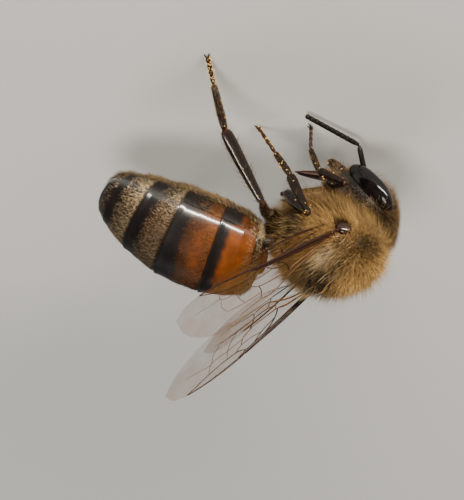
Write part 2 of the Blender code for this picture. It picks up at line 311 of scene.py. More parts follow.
def rod_surface(start, end, places, sizes, flat=1.0, up=(0.0, 0.0, 1.0), bow=0.0, ends=8.0):
    """A straight or slightly bowed rod: ovals along a line, whose size follows a profile, with both ends
    rounded, more bluntly for a larger number of ends. Flat is thickness over depth, and bow lifts the
    middle."""
    start, end = np.asarray(start, float), np.asarray(end, float)
    along = (end - start) / np.linalg.norm(end - start)
    across = np.cross(up, along)
    across = across / np.linalg.norm(across)
    above = np.cross(along, across)

    def surface(u, v):
        turn = 2 * np.pi * v
        size = smooth(u, np.asarray(places, float), np.asarray(sizes, float))
        size = size * np.sqrt(np.clip(ends * u * (1 - u), 0, 1))
        centre = start + (end - start) * u[..., None] + (bow * np.sin(np.pi * u))[..., None] * above
        deep = (np.cos(turn) * size)[..., None] * above
        return centre + (np.sin(turn) * size * flat)[..., None] * across + deep
    return surface


neck_surface = rod_surface((0.30, 0.0, 4.30), (-0.95, 0.0, 2.85), (0, 1), (0.50, 0.50))
chest_shape = joined([
    wrapped(thorax_surface, 72, 72), wrapped(waist_surface, 16, 24), wrapped(neck_surface, 16, 24),
])
chest_tint = np.tile(THORAX_SHELL, (len(chest_shape[0]), 1))
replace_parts(build("thorax_skin", chest_shape, dark_shell, chest_tint), "thorax", "petiole")

# Each forewing's hinge is covered by a small bean of brown shell, which stands out of the coat and shines.
# Behind it lies the end of a second little plate, where the hindwing is hinged.
TEGULA_COLOUR = (0.016, 0.005, 0.003)
TEGULA_PLACE = np.array([-0.05, -1.80, 5.16])
TEGULA_HALF = np.array([0.38, 0.20, 0.29])
tegula_shell = shell_finish("hinge_shell", 0.16, 60000.0, 3000.0, 0.0015 * MM, 0.45, TEGULA_COLOUR,
                            wax=(0.06, 1.9, 0.06))


def ball_surface(centre, halves, lean=0.0):
    """A ball stretched to an oval, leaning about the line across the bee by an angle."""

    def surface(u, v):
        turn = 2 * np.pi * v
        x = -np.cos(np.pi * u) * halves[0]
        y = np.sin(np.pi * u) * np.sin(turn) * halves[1]
        z = np.sin(np.pi * u) * np.cos(turn) * halves[2]
        return centre + np.stack([
            x * math.cos(lean) + z * math.sin(lean), y, z * math.cos(lean) - x * math.sin(lean),
        ], axis=-1)
    return surface


for side, flip in (("left", 1.0), ("right", -1.0)):
    place = TEGULA_PLACE * (1, flip, 1)
    cap = ball_surface(place, TEGULA_HALF, math.radians(12.0))
    rear = ball_surface(place + (0.30, 0.10 * flip, 0.42), (0.20, 0.13, 0.12))
    plates = joined([wrapped(cap, 24, 32), wrapped(rear, 16, 20)])
    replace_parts(build("hinge_cap_" + side, plates, tegula_shell), "tegula_" + side)

# The abdomen is six overlapping rings of shell on a downward arc. Each ring's rear edge stands a little
# over the next ring's front. The shell is orange-brown to the front and black in bands behind.
FIRST_SLOPE = math.radians(9.0)
LAST_SLOPE = math.radians(39.0)
ABDOMEN_LENGTH = 7.55
ABDOMEN_START = (3.22, 6.02)
RING_ENDS = np.array([0.0, 0.50, 2.15, 4.00, 5.52, 6.80, 7.50])
RADIUS_PLACES = (-0.40, 0.0, 0.12, 0.50, 1.10, 2.15, 3.10, 4.00, 5.52, 6.30, 6.80, 7.10, 7.30, 7.42, 7.50)
RADII = (0.45, 0.62, 1.06, 1.60, 1.88, 2.04, 2.06, 2.00, 1.68, 1.41, 1.19, 1.00, 0.80, 0.55, 0.03)
ABDOMEN_WIDE = 1.05
ABDOMEN_HIGH = 0.97
BLACK_BANDS = np.array([0.22, 0.46, 0.66, 0.62, 0.58, 0.90])
REAR_SMOKE = np.array([0.92, 0.0, 0.05, 0.88, 0.97, 1.0])
AMBER = np.array([0.118, 0.029, 0.0035])
RUST = np.array([0.16, 0.060, 0.020])
PITCH = np.array([0.007, 0.005, 0.0045])
BELLY = np.array([0.050, 0.024, 0.012])
SMOKE = np.array([0.020, 0.013, 0.008])
RIDGE_DEGREES = 84  # the side ridge's turn from the top
RIDGE = 1.466  # the same in radians
RIDGE_HIGH = 0.105
BELLY_PATCH = 1.6  # the dark patches on the belly are this far apart


def abdomen_axis(distance):
    """The middle line at a distance behind the waist, and the way up there: an arc of even bend."""
    bend = (LAST_SLOPE - FIRST_SLOPE) / ABDOMEN_LENGTH
    slope = FIRST_SLOPE + bend * distance
    x = ABDOMEN_START[0] + (np.sin(slope) - math.sin(FIRST_SLOPE)) / bend
    z = ABDOMEN_START[1] + (np.cos(slope) - math.cos(FIRST_SLOPE)) / bend
    above = np.stack([np.sin(slope), 0 * slope, np.cos(slope)], axis=-1)
    return np.stack([x, 0 * x, z], axis=-1), above


def from_top(turn):
    """How far a turn is from the top, to either side."""
    return np.abs((turn + np.pi) % (2 * np.pi) - np.pi)


def round_abdomen(distance, turn, scale):
    """A point at a distance along and a turn from the top by the left, at a share of the full radius.
    The side is drawn out to a low ridge, rounded at its crest, which fades more slowly below than above."""
    centre, above = abdomen_axis(distance)
    degrees = np.degrees(from_top(turn))
    past = np.sqrt((degrees - RIDGE_DEGREES) ** 2 + 8) - 2.8
    ridge = RIDGE_HIGH * np.exp(-past / np.where(degrees < RIDGE_DEGREES, 15, 18))
    radius = np.interp(distance, RADIUS_PLACES, RADII) * scale * (1 + ridge)
    side = -np.sin(turn) * radius * ABDOMEN_WIDE
    rise = np.cos(turn) * radius * ABDOMEN_HIGH
    return centre + side[..., None] * np.array([0.0, 1.0, 0.0]) + rise[..., None] * above


def ring_profile(number):
    """How one ring runs from its hidden front to its rear edge and in again: steps, distances and radii."""
    steps = np.array([0.0, 0.04, 0.09, 0.20, 0.80, 0.93, 0.96, 1.0])
    reach = np.array([-0.22, -0.22, -0.12, 0.04, -0.25, -0.03, 0.0, -0.06])
    along = np.where(steps < 0.5, RING_ENDS[number - 1] + reach, RING_ENDS[number] + reach)
    size = np.array([0.0, 0.80, 0.955, 0.975, 1.0, 1.022, 0.99, 0.0])
    if number == 6:
        along[4:] = RING_ENDS[6] - np.array([0.40, 0.10, 0.04, 0.0])
        size[4:] = 1.0
    return steps, along, size


def wander(points, scale, seed):
    """A smooth number between about -1 and 1 at each point: seven waves of different ways, added up."""
    random = np.random.default_rng(seed)
    ways = random.normal(size=(7, 3)) * scale
    starts = random.uniform(0, 2 * np.pi, 7)
    return np.sin(points @ ways.T + starts).sum(axis=1) / 3.5


def step_up(value, low, high):
    """0 below low, 1 above high, and a smooth S between them."""
    t = np.clip((value - low) / (high - low), 0, 1)
    return t * t * (3 - 2 * t)


def belly_patch(distance, points, low, high):
    """1 in the dark patches that follow each other along the belly and 0 between them, or the other way
    round when high is below low."""
    return step_up(np.cos(2 * np.pi * distance / BELLY_PATCH) + 0.5 * wander(points, 1.5, 7), low, high)


def abdomen_marking(distance, turn, points):
    """The shell's colour and gloss: amber in front and black bands behind, wider and darker below the side
    ridge and on the last rings, with a polished line along the ridge. Below the ridge the widening and
    darkening are partly the shell's own colour and partly painted shade, on the side turned away from the
    light."""
    number = np.clip(np.searchsorted(RING_ENDS, distance), 1, 6)
    away = from_top(turn)
    # partly painted shade: below the side ridge the black bands widen and the shell darkens
    side = step_up(away, RIDGE, RIDGE + 0.12)
    ragged = 0.06 * wander(points, 1.6, 5) + 0.05 * wander(points, 6.0, 8)
    edge = BLACK_BANDS[number - 1] * (1 + 0.9 * side) + ragged + 0.12 * step_up(-away, -0.9, 0.0)
    black = step_up(distance, RING_ENDS[number] - edge - 0.12, RING_ENDS[number] - edge + 0.12)
    black = np.where(number == 6, 1.0, black)[:, None]
    smoky = step_up(distance - RING_ENDS[number - 1], 0.35, 1.0) * (number == 3)
    rear = np.clip(REAR_SMOKE[number - 1] + 0.85 * smoky + 0.62 * side, 0, 1)[:, None]
    smoke = np.where((number > 3)[:, None], SMOKE, RUST * 0.18)
    base = AMBER * (1 - rear) + smoke * rear
    shade = (1 + 0.18 * wander(points, 2.6, 6))[:, None]
    colour = (base * (1 - black) + PITCH * black) * shade
    under = step_up(away, 1.95, 2.20)[:, None]
    belly = BELLY * (1 - 0.75 * belly_patch(distance, points, -0.2, 0.6)[:, None])
    gloss = np.exp(-((away - RIDGE) / 0.150) ** 2)[:, None]
    return np.hstack([colour * (1 - under) + belly * under, gloss])


abdomen_shell = shell_finish("abdomen_shell", 0.20, 42000.0, 2200.0, 0.0025 * MM, 0.80, dull=0.44,
                             wax=(0.10, 2.3, 0.19))
for number in range(1, 7):
    steps, along, size = ring_profile(number)
    shape = wrapped(lambda u, v: round_abdomen(
        np.interp(u, steps, along), 2 * np.pi * v, np.interp(u, steps, size)), 60, 120)
    points, faces, spots = shape
    distance = np.interp(spots[:, 0], steps, along)
    seen = np.clip(distance, RING_ENDS[number - 1] + 0.01, RING_ENDS[number] - 0.001)
    marking = abdomen_marking(seen, 2 * np.pi * spots[:, 1], points)
    slot = "orange_shell" if number < 4 else "black_shell"
    ring = build("abdomen_ring_%d" % number, shape, abdomen_shell, marking)
    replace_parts(ring, "abdomen_%d" % number)

# The head is a flattened black-brown capsule that hangs face down in front of the chest. Its crown carries
# three small simple eyes, and its face has a low shield above the mouth.
HEAD_CENTRE = np.array([-1.15, 0.0, 2.63])
HEAD_TILT = math.radians(50.0)
TO_MOUTH = np.array([math.cos(HEAD_TILT), 0.0, -math.sin(HEAD_TILT)])
TO_BACK = np.array([math.sin(HEAD_TILT), 0.0, math.cos(HEAD_TILT)])
TO_SIDE = np.array([0.0, 1.0, 0.0])
HEAD_LONG = 1.86
HEAD_PLACES = np.array([-1.0, -0.85, -0.6, -0.3, 0.0, 0.3, 0.6, 0.85, 1.0])
HEAD_WIDTHS = np.array([1.95, 1.75, 1.62, 1.50, 1.42, 1.36, 1.22, 1.10, 1.15])
HEAD_DEPTHS = np.array([0.98, 0.90, 0.87, 0.86, 0.86, 0.87, 0.86, 0.92, 1.02])
HEAD_SHELL = (0.009, 0.007, 0.006)
EYELET_BROWN = (0.030, 0.012, 0.006)
EYELET_HALF = (0.15, 0.15, 0.15)


def head_place(down, side, back):
    """A point by how far it is towards the mouth, to the right and towards the back of the head."""
    return HEAD_CENTRE + down[..., None] * TO_MOUTH + side[..., None] * TO_SIDE + back[..., None] * TO_BACK


def head_surface(u, v):
    """The capsule from crown to mouth, and once round from the back by the left: ovals of varying size,
    with a low shield on the face and a groove down the middle of the brow."""
    place = -np.cos(np.pi * u)
    round_end = np.sin(np.pi * u) ** 0.85
    turn = 2 * np.pi * v
    side = -np.sin(turn) * smooth(place, HEAD_PLACES, HEAD_WIDTHS) * round_end
    back = np.cos(turn) * smooth(place, HEAD_PLACES, HEAD_DEPTHS) * round_end
    face = np.clip(-np.cos(turn), 0, 1)
    shield = 0.13 * step_up(face, 0.35, 0.85) * step_up(place, 0.18, 0.34) * step_up(-place, -0.86, -0.72)
    groove = 0.05 * np.exp(-(side / 0.07) ** 2) * face * step_up(-place, -0.10, 0.10)
    return head_place(place * HEAD_LONG, side, back - shield + groove)


head_shell = shell_finish("head_shell", 0.30, 45000.0, 2500.0, 0.004 * MM, 0.35, HEAD_SHELL)
eyelet_shell = shell_finish("small_eye_shell", 0.10, 90000.0, 5000.0, 0.0004 * MM, 1.0, EYELET_BROWN)
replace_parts(build("head_capsule", wrapped(head_surface, 72, 96), head_shell), "head")
for place, u, v in (("middle", 0.155, 0.500), ("left", 0.125, 0.30), ("right", 0.125, 0.70)):
    eyelet = wrapped(ball_surface(head_surface(np.array(u), np.array(v)), EYELET_HALF), 14, 20)
    build("small_eye_" + place, eyelet, eyelet_shell)

# Each large eye is a long glossy black bean, bedded in the side of the head. It is made of thousands of
# lenses too small to see one by one, under a clear hard skin.
EYE_HALF = (1.42, 0.80, 0.48)  # along the face, to the side, and from front to back
EYE_SIDE = 1.27
EYE_UP = 0.08
EYE_BACK = -0.27


def clouded(cloud, low, high):
    """A colour that a cloud of noise blends between two, each given by its place on the ramp and itself."""
    ramp = add_node(cloud.id_data, "ValToRGB", {"Fac": cloud.outputs["Fac"]})
    for stop, (place, colour) in zip(ramp.color_ramp.elements, (low, high)):
        stop.position = place
        stop.color = colour
    return ramp.outputs["Color"]


eye_shine, eye_tree, eye_shader = new_material("eye_shine", {
    "Roughness": 0.20, "Specular IOR Level": 0.06,
    "Coat Weight": 0.24, "Coat IOR": 2.0, "Coat Roughness": 0.09,
})
eye_where = add_node(eye_tree, "TexCoord", {}).outputs["Object"]
eye_cloud = add_node(eye_tree, "TexNoise", {"Vector": eye_where, "Scale": 2600.0})
eye_lenses = add_node(eye_tree, "TexVoronoi", {"Vector": eye_where, "Scale": 38000.0})
eye_relief = add_node(eye_tree, "Bump", {
    "Strength": 0.25, "Distance": 0.002 * MM, "Height": eye_lenses.outputs["Distance"],
}, invert=True)
fill(eye_shader, {
    "Base Color": clouded(eye_cloud, (0.35, (0.003, 0.003, 0.004, 1)), (0.70, (0.010, 0.006, 0.005, 1))),
    "Normal": eye_relief.outputs["Normal"],
})


def eye_surface(flip):
    """A bean: an oval ball whose front edge is drawn in at mid height and whose top leans to the crown."""

    def surface(u, v):
        place = -np.cos(np.pi * u)
        turn = 2 * np.pi * v
        ring = np.sin(np.pi * u)
        side = np.sin(turn) * ring * EYE_HALF[1] * (1 - 0.08 * place)
        back = np.cos(turn) * ring * EYE_HALF[2] * (1 - 0.12 * place)
        notch = 0.07 * np.exp(-((place - 0.05) / 0.35) ** 2) * np.clip(-np.cos(turn), 0, 1)
        back = back + notch - 0.06 * place
        down = place * EYE_HALF[0] - EYE_UP
        return head_place(down, flip * (EYE_SIDE - 0.10 * place ** 2 - 0.06 * place) + side, back + EYE_BACK)
    return surface


for side, flip in (("left", -1.0), ("right", 1.0)):
    eye = build("large_eye_" + side, wrapped(eye_surface(flip), 64, 80), eye_shine)
    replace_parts(eye, "eye_" + side)

# Each feeler is a long first joint that swings out from the face, an elbow, and a whip of ten short joints,
# all of black shell with a very fine dull down, and each joint a little wider at its far end.
FEELER_BASE = np.array([-1.38, -0.48, 1.62])
FEELER_ELBOW = np.array([-0.83, -1.58, 0.52])
FEELER_TIP = np.array([1.80, -3.03, 0.31])
FEELER_BLACK = (0.008, 0.006, 0.005)
WHIP_JOINTS = 10
feeler_shell = shell_finish("feeler_shell", 0.38, 60000.0, 4000.0, 0.003 * MM, 0.10, FEELER_BLACK)
for side, flip in (("left", 1.0), ("right", -1.0)):
    base, elbow, tip = (place * (1.0, flip, 1.0) for place in (FEELER_BASE, FEELER_ELBOW, FEELER_TIP))
    socket = rod_surface(base, base + (elbow - base) * 0.12, (0, 1), (0.15, 0.13))
    first = rod_surface(base + (elbow - base) * 0.08, elbow, (0, 0.12, 0.7, 1), (0.085, 0.105, 0.118, 0.112))
    scape = joined([wrapped(socket, 12, 20), wrapped(first, 30, 20)])
    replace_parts(build("feeler_arm_" + side, scape, feeler_shell), "scape_" + side)
    joints = [rod_surface(elbow, elbow + (tip - elbow) * 0.07, (0, 1), (0.07, 0.10))]
    for count in range(WHIP_JOINTS):
        last = count == WHIP_JOINTS - 1
        near = elbow + (tip - elbow) * (0.055 + count * 0.0945)
        far = elbow + (tip - elbow) * (0.055 + (count + 1.10) * 0.0945 - (0.01 if last else 0))
        joints.append(rod_surface(near, far, (0, 0.5, 1), (0.100, 0.112, 0.118), ends=5.0 if last else 14.0))
    whip = joined([wrapped(joint, 12, 20) for joint in joints])
    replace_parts(build("feeler_whip_" + side, whip, feeler_shell), "flagellum_" + side)

# The mouth: two smooth brown jaws that meet like spoons, and behind them the tongue folded back under the
# head in its sheath of long brown blades.
JAW_ROOT = HEAD_CENTRE + 1.50 * TO_MOUTH - 0.62 * TO_SIDE - 0.15 * TO_BACK
JAW_TIP = np.array([0.294, -0.403, 0.633])
TONGUE_ROOT = np.array([0.07, 0.0, 1.26])
TONGUE_TIP = np.array([1.75, 0.0, 1.16])
LIP_MIDDLE = HEAD_CENTRE + 1.55 * TO_MOUTH - 0.45 * TO_BACK
LIP_HALF = 0.42 * TO_SIDE
JAW_BROWN = (0.014, 0.006, 0.004)
TONGUE_BROWN = (0.030, 0.011, 0.006)
jaw_shell = shell_finish("jaw_shell", 0.24, 50000.0, 2500.0, 0.002 * MM, 0.3, JAW_BROWN)
tongue_shell = shell_finish("tongue_shell", 0.32, 40000.0, 2500.0, 0.004 * MM, 0.2, TONGUE_BROWN)
jaws = []
for side, flip in (("left", 1.0), ("right", -1.0)):
    root, tip = JAW_ROOT * (1.0, flip, 1.0), JAW_TIP * (1.0, flip, 1.0)
    jaws.append(rod_surface(root, tip, (0, 0.35, 0.7, 1), (0.30, 0.25, 0.22, 0.16), 0.62))
    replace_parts(build("jaw_" + side, wrapped(jaws[-1], 32, 28), jaw_shell), "mandible_" + side)
blades = [rod_surface(TONGUE_ROOT, TONGUE_TIP, (0, 0.3, 1), (0.13, 0.12, 0.05))]
for shift in (-0.17, 0.17):
    root, tip = TONGUE_ROOT + (0, shift, 0), TONGUE_TIP + (-0.15, shift * 0.4, 0.03)
    blades.append(rod_surface(root, tip, (0, 0.4, 1), (0.16, 0.14, 0.06), 0.5))
upper_lip = rod_surface(LIP_MIDDLE - LIP_HALF, LIP_MIDDLE + LIP_HALF, (0, 0.5, 1), (0.24, 0.28, 0.24), 0.6)
mouth_shape = joined([wrapped(blade, 32, 20) for blade in blades] + [wrapped(upper_lip, 24, 24)])
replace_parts(build("tongue", mouth_shape, tongue_shell), "proboscis")

# The six legs are jointed rods of black-brown shell, rust at the joints. Each has a hip cone, thigh, shin,
# long first foot joint, four short ones and a pair of claws. The hind shins are broad and flat.
LEG_JOINTS = {
    "front_left": ((0.38, -0.62, 2.62), (0.42, -1.30, 2.34), (-0.02, -2.52, 3.27),
                   (1.02, -1.86, 2.30), (1.36, -1.84, 1.20), (1.36, -1.98, 0.0)),
    "front_right": ((0.38, 0.62, 2.62), (0.42, 1.30, 2.34), (-0.02, 2.52, 3.27),
                    (-0.52, 3.02, 1.90), (-0.80, 3.20, 0.95), (-1.12, 3.45, 0.0)),
    "mid_left": ((1.30, -0.72, 2.46), (2.30, -1.02, 3.02), (1.58, -2.36, 4.93),
                 (2.35, -2.22, 2.93), (2.92, -1.88, 1.63), (3.60, -1.50, 0.0)),
    "mid_right": ((1.30, 0.72, 2.46), (2.30, 1.02, 3.02), (1.58, 2.60, 4.45),
                  (1.38, 3.20, 2.50), (1.42, 3.46, 1.20), (1.50, 3.75, 0.0)),
    "hind_left": ((2.62, -0.36, 3.72), (3.14, -0.84, 4.08), (3.73, -3.12, 5.20),
                  (5.54, -4.20, 2.35), (6.22, -5.30, 0.86), (6.65, -6.20, 0.0)),
    "hind_right": ((2.62, 0.36, 3.72), (3.14, 0.84, 4.08), (3.73, 3.12, 5.20),
                   (5.54, 4.20, 2.35), (6.22, 5.30, 0.86), (6.65, 6.20, 0.0)),
}
LEG_PIECES = ("coxa", "femur", "tibia", "basitarsus", "tarsus")  # hip, thigh, shin, and the foot's joints
LEG_SIZES = {
    "front": (0.30, 0.235, 0.19, 0.135, 0.085),
    "mid": (0.32, 0.245, 0.215, 0.150, 0.085),
    "hind": (0.33, 0.290, 0.360, 0.300, 0.095),
}
LEG_FLAT = {"front": (0.85, 0.80, 0.8), "mid": (0.85, 0.75, 0.8), "hind": (0.75, 0.5, 0.5)}
LEG_BOWS = (0.06, 0.03, 0.0)
LEG_PROFILES = (
    ((0, 0.15, 0.45, 0.85, 1), (0.62, 0.90, 1.0, 0.74, 0.66)),
    ((0, 0.12, 0.6, 0.9, 1), (0.55, 0.66, 1.0, 0.98, 0.80)),
    ((0, 0.12, 0.6, 1), (0.72, 0.92, 1.0, 0.80)),
)
LEG_BLACK = np.array([0.0080, 0.0045, 0.0030])
LEG_RUST = np.array([0.050, 0.014, 0.006])
LEG_RUSTY = (0.30, 0.45, 0.45, 0.45, 0.55)  # how rusty each piece's ends are, and the whole of the foot
SOLE = 0.09  # the foot's middle line ends this far above the floor
leg_shell = shell_finish("leg_shell", 0.20, 42000.0, 2600.0, 0.002 * MM, 0.13, wax=(0.07, 2.0, 0.07))


def leg_rods(leg):
    """The surfaces of one leg's rods from hip to last foot joint, each with its number in LEG_PIECES."""
    pair = leg.split("_")[0]
    joints = np.array(LEG_JOINTS[leg])
    joints[-1, 2] = SOLE
    inward = joints[0] + (np.array([joints[0, 0] * 0.9 + 0.1, joints[0, 1] * 0.6, 4.2]) - joints[0]) * 0.55
    rods = [(0, rod_surface(inward, joints[1], (0, 0.5, 1), (0.42, LEG_SIZES[pair][0], 0.20)))]
    for number, (profile, flat, bow) in enumerate(zip(LEG_PROFILES, LEG_FLAT[pair], LEG_BOWS), 1):
        places, sizes = np.array(profile)
        near, far = joints[number], joints[number + 1]
        reach = (far - near) * 0.03
        sizes = sizes * LEG_SIZES[pair][number]
        rod = rod_surface(near - reach, far + reach, places, sizes, flat, bow=bow, ends=16.0)
        rods.append((number, rod))
    heel, toe = joints[4], joints[5]
    for count in range(4):
        near = heel + (toe - heel) * (0.02 + 0.235 * count)
        far = heel + (toe - heel) * (0.02 + 0.235 * count + 0.27)
        rods.append((4, rod_surface(near, far, (0, 0.8, 1), (0.055, LEG_SIZES[pair][4], 0.075), ends=12.0)))
    return rods


def claw_surface(root, out, way, reach):
    """A hooked claw: a round rod that thins to its tip along a quarter turn from one way to the floor."""
    down = np.array([0.0, 0.0, -1.0])
    across = np.cross(way, down)

    def surface(u, v):
        bend = u[..., None] * 1.25
        centre = root + out + reach * (np.sin(bend) * way + (1 - np.cos(bend)) * down)
        facing = np.cos(bend) * way + np.sin(bend) * down
        above = np.cross(facing, across)
        size = 0.045 * (1 - u) ** 0.6 * np.sqrt(np.clip(12 * u, 0, 1))
        turn = 2 * np.pi * v
        return centre + (np.sin(turn) * size)[..., None] * across + (np.cos(turn) * size)[..., None] * above
    return surface


def stand(shape):
    """Keeps a shape's points from going below the floor."""
    shape[0][:, 2] = np.maximum(shape[0][:, 2], 0.0)
    return shape


for leg in LEG_JOINTS:
    joints = np.array(LEG_JOINTS[leg])
    parts, tints = [], []
    for number, rod in leg_rods(leg):
        part = wrapped(rod, 36 if number < 4 else 14, 28)
        ends = np.minimum(part[2][:, 0], 1 - part[2][:, 0])
        at_ends = step_up(-ends, -0.10, -0.02) if number < 4 else np.ones(len(ends))
        rust = LEG_RUSTY[number] * at_ends[:, None]
        parts.append(part)
        tints.append(LEG_BLACK * (1 - rust) + LEG_RUST * rust)
    toe = joints[5] + np.array([0.0, 0.0, 0.10])
    ahead = toe[:2] - joints[4][:2]
    reach = np.linalg.norm(ahead)
    heading = np.append(ahead / reach, 0.0) if reach > 0.2 else np.array([1.0, 0.0, 0.0])
    beside = np.array([-heading[1], heading[0], 0.0])
    for hand in (-1.0, 1.0):
        way = heading + 0.55 * hand * beside
        hook = claw_surface(toe, 0.04 * hand * beside, way / np.linalg.norm(way), 0.17)
        claw = stand(wrapped(hook, 14, 10))
        parts.append(claw)
        tints.append(np.tile(LEG_BLACK, (len(claw[0]), 1)))
    built = build("leg_" + leg, stand(joined(parts)), leg_shell, np.vstack(tints))
    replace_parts(built, *(piece + "_" + leg for piece in LEG_PIECES))

# The wings are clear brown-tinted skins no thicker than foil, held open by branching dark red-brown veins.
# Hindwings lie under forewings, and all four fold back over the body at a shallow slope.
WING_ALONG = {"left": np.array([7.00, -1.35, 5.70]), "right": np.array([6.24, 0.95, 6.22])}
WING_ROLL = {"left": math.radians(20.0), "right": math.radians(-5.0)}
WING_ARCH = {"left": 0.0, "right": 0.28}
FOREWING_HINGE = np.array([0.12, -2.20, 5.30])
HINDWING_HINGE = np.array([0.58, -2.12, 4.80])
FOREWING_ROOT = np.array([0.02, -1.86, 5.22])
HINDWING_ROOT = np.array([0.42, -1.74, 4.90])
FOREWING_EDGE = ((0.0, 0.16), (1.2, 0.03), (2.6, -0.02), (4.4, -0.03), (6.0, -0.17), (7.4, -0.18),
                 (8.4, -0.08), (9.1, 0.26), (9.44, 0.86))
FOREWING_TRAIL = ((0.0, 0.40), (0.7, 0.55), (1.6, 0.92), (2.6, 1.50), (3.9, 2.22), (5.2, 2.68), (6.4, 2.92),
                  (7.6, 2.62), (8.8, 1.85), (9.44, 0.86))
HINDWING_EDGE = ((0.0, 0.15), (1.0, 0.08), (2.4, 0.0), (3.9, 0.0), (5.2, 0.08), (6.3, 0.32), (6.80, 0.80))
HINDWING_TRAIL = ((0.0, 0.30), (0.8, 0.40), (1.6, 0.72), (2.6, 1.28), (4.2, 1.75), (5.8, 1.55), (6.80, 0.80))
# Each vein is its half thickness at the start and at the end, and the points that it runs through. The
# veins in gold are brown veins drawn in a paler colour, as a painted glint.
FOREWING_VEINS = (
    (0.085, 0.052, ((0.0, 0.18), (1.2, 0.06), (2.6, 0.01), (4.4, 0.0), (5.15, -0.06))),
    (0.080, 0.050, ((0.0, 0.28), (1.23, 0.22), (2.39, 0.20), (3.57, 0.17), (4.5, 0.10), (5.15, -0.02))),
    (0.046, 0.026, ((5.05, -0.06), (6.3, -0.15), (7.5, -0.15), (8.35, -0.07))),
    (0.070, 0.040, ((4.55, 0.05), (4.95, 0.04), (5.40, -0.06))),
    (0.024, 0.015, ((4.85, 0.05), (5.30, 0.38), (6.2, 0.45), (7.2, 0.29), (8.0, 0.04), (8.35, -0.06))),
    (0.030, 0.022, ((2.90, 1.12), (3.05, 0.78), (3.40, 0.44), (3.90, 0.19))),
    (0.020, 0.018, ((3.15, 0.68), (3.98, 0.50), (4.60, 0.08))),
    (0.022, 0.018, ((4.61, 1.22), (4.35, 1.69), (4.33, 2.10))),
)
FOREWING_GLINT_VEINS = (
    (0.018, 0.016, ((3.98, 0.50), (4.70, 0.68), (5.35, 0.60), (5.55, 0.42))),
    (0.024, 0.018, ((2.90, 1.12), (3.67, 1.22), (4.61, 1.22), (5.07, 1.00), (5.20, 0.64))),
    (0.018, 0.010, ((4.35, 1.69), (5.27, 1.82), (6.33, 1.82))),
    (0.015, 0.013, ((5.27, 1.82), (5.72, 1.38), (5.95, 0.95), (6.05, 0.46))),
    (0.015, 0.011, ((5.07, 1.00), (5.95, 0.95), (6.90, 0.86), (7.12, 0.32))),
    (0.013, 0.007, ((6.33, 1.82), (6.75, 1.35), (6.90, 0.86), (7.6, 0.95), (8.3, 1.05))),
    (0.018, 0.015, ((3.05, 1.14), (2.95, 1.58))),
    (0.050, 0.032, ((0.0, 0.34), (1.0, 0.46), (1.83, 0.66), (2.5, 0.88), (2.92, 1.12))),
    (0.036, 0.022, ((0.0, 0.38), (0.9, 0.54), (2.14, 1.06), (2.95, 1.58), (3.51, 2.02), (4.33, 2.10))),
    (0.020, 0.010, ((4.33, 2.10), (5.00, 2.26), (5.57, 2.42))),
)
HINDWING_VEINS = (
    (0.045, 0.030, ((0.0, 0.20), (1.2, 0.13), (2.4, 0.06), (3.6, 0.10), (4.6, 0.20))),
    (0.022, 0.010, ((2.6, 0.08), (3.0, 0.30), (4.2, 0.42), (5.4, 0.50), (6.2, 0.62))),
    (0.032, 0.020, ((0.0, 0.24), (1.0, 0.42), (1.9, 0.62), (2.7, 0.80))),
    (0.020, 0.018, ((2.7, 0.80), (2.95, 0.30))),
)
HINDWING_GLINT_VEINS = (
    (0.018, 0.008, ((2.7, 0.80), (3.8, 0.95), (5.0, 1.02), (5.8, 1.02))),
    (0.018, 0.010, ((1.5, 0.52), (2.2, 0.95), (2.9, 1.30))),
)
VEIN_BROWN = np.array([0.020, 0.006, 0.003])
# painted highlight: the glinting veins get a paler gold colour in place of a glint of light on brown veins
VEIN_GLINT_GOLD = np.array([0.085, 0.036, 0.010])
WING_SPAN = 9.4
SKIN_HALF = 0.007  # half the skin's thickness


def wing_plane(hinge, root, side):
    """A function that gives a point on a wing from its distance out from the hinge, its distance behind the
    leading edge and its lift off the plane. The sheet is drawn in to its root over the first stretch, cups a
    little behind, and arches along its length."""
    flip = 1.0 if side == "left" else -1.0
    along = WING_ALONG[side] / np.linalg.norm(WING_ALONG[side])
    level = np.array([-along[1], along[0], 0.0]) * flip
    level = level / np.linalg.norm(level)
    above = np.cross(along, level) * flip
    behind = level * math.cos(WING_ROLL[side]) + above * math.sin(WING_ROLL[side])
    off = np.cross(along, behind) * flip
    mirror = np.array([1.0, flip, 1.0])
    gap = (root - hinge) * mirror - 0.24 * behind

    def place(reach, back, lift):
        ripple = 0.035 * np.sin(2.1 * back + 0.35 * reach) * np.clip(back, 0, 1) - 0.03 * (back / 3) ** 2
        ripple = ripple + WING_ARCH[side] * np.sin(np.pi * np.clip(reach / WING_SPAN, 0, 1))
        point = hinge * mirror + reach[..., None] * along + back[..., None] * behind
        drawn = (np.clip(1 - reach / 2.4, 0, 1) ** 2)[..., None]
        return point + drawn * gap + (ripple + lift)[..., None] * off
    return place


def line_through(given, share):
    """A smooth line through given points of a wing, at a share of the line's length."""
    given = np.array(given)
    lengths = np.concatenate([[0], np.cumsum(np.linalg.norm(np.diff(given, axis=0), axis=1))])
    at = np.asarray(share) * lengths[-1]
    return smooth(at, lengths, given[:, 0]), smooth(at, lengths, given[:, 1])


def blade_surface(edge, trail, place):
    """The skin: at each share of the way to the tip, a thin closed loop between leading and rear edges."""

    def surface(u, v):
        front = line_through(edge, u)
        rear = line_through(trail, u)
        chord = (1 - np.cos(2 * np.pi * v)) / 2
        reach = front[0] + (rear[0] - front[0]) * chord
        back = front[1] + (rear[1] - front[1]) * chord
        return place(reach, back, SKIN_HALF * np.sin(2 * np.pi * v))
    return surface


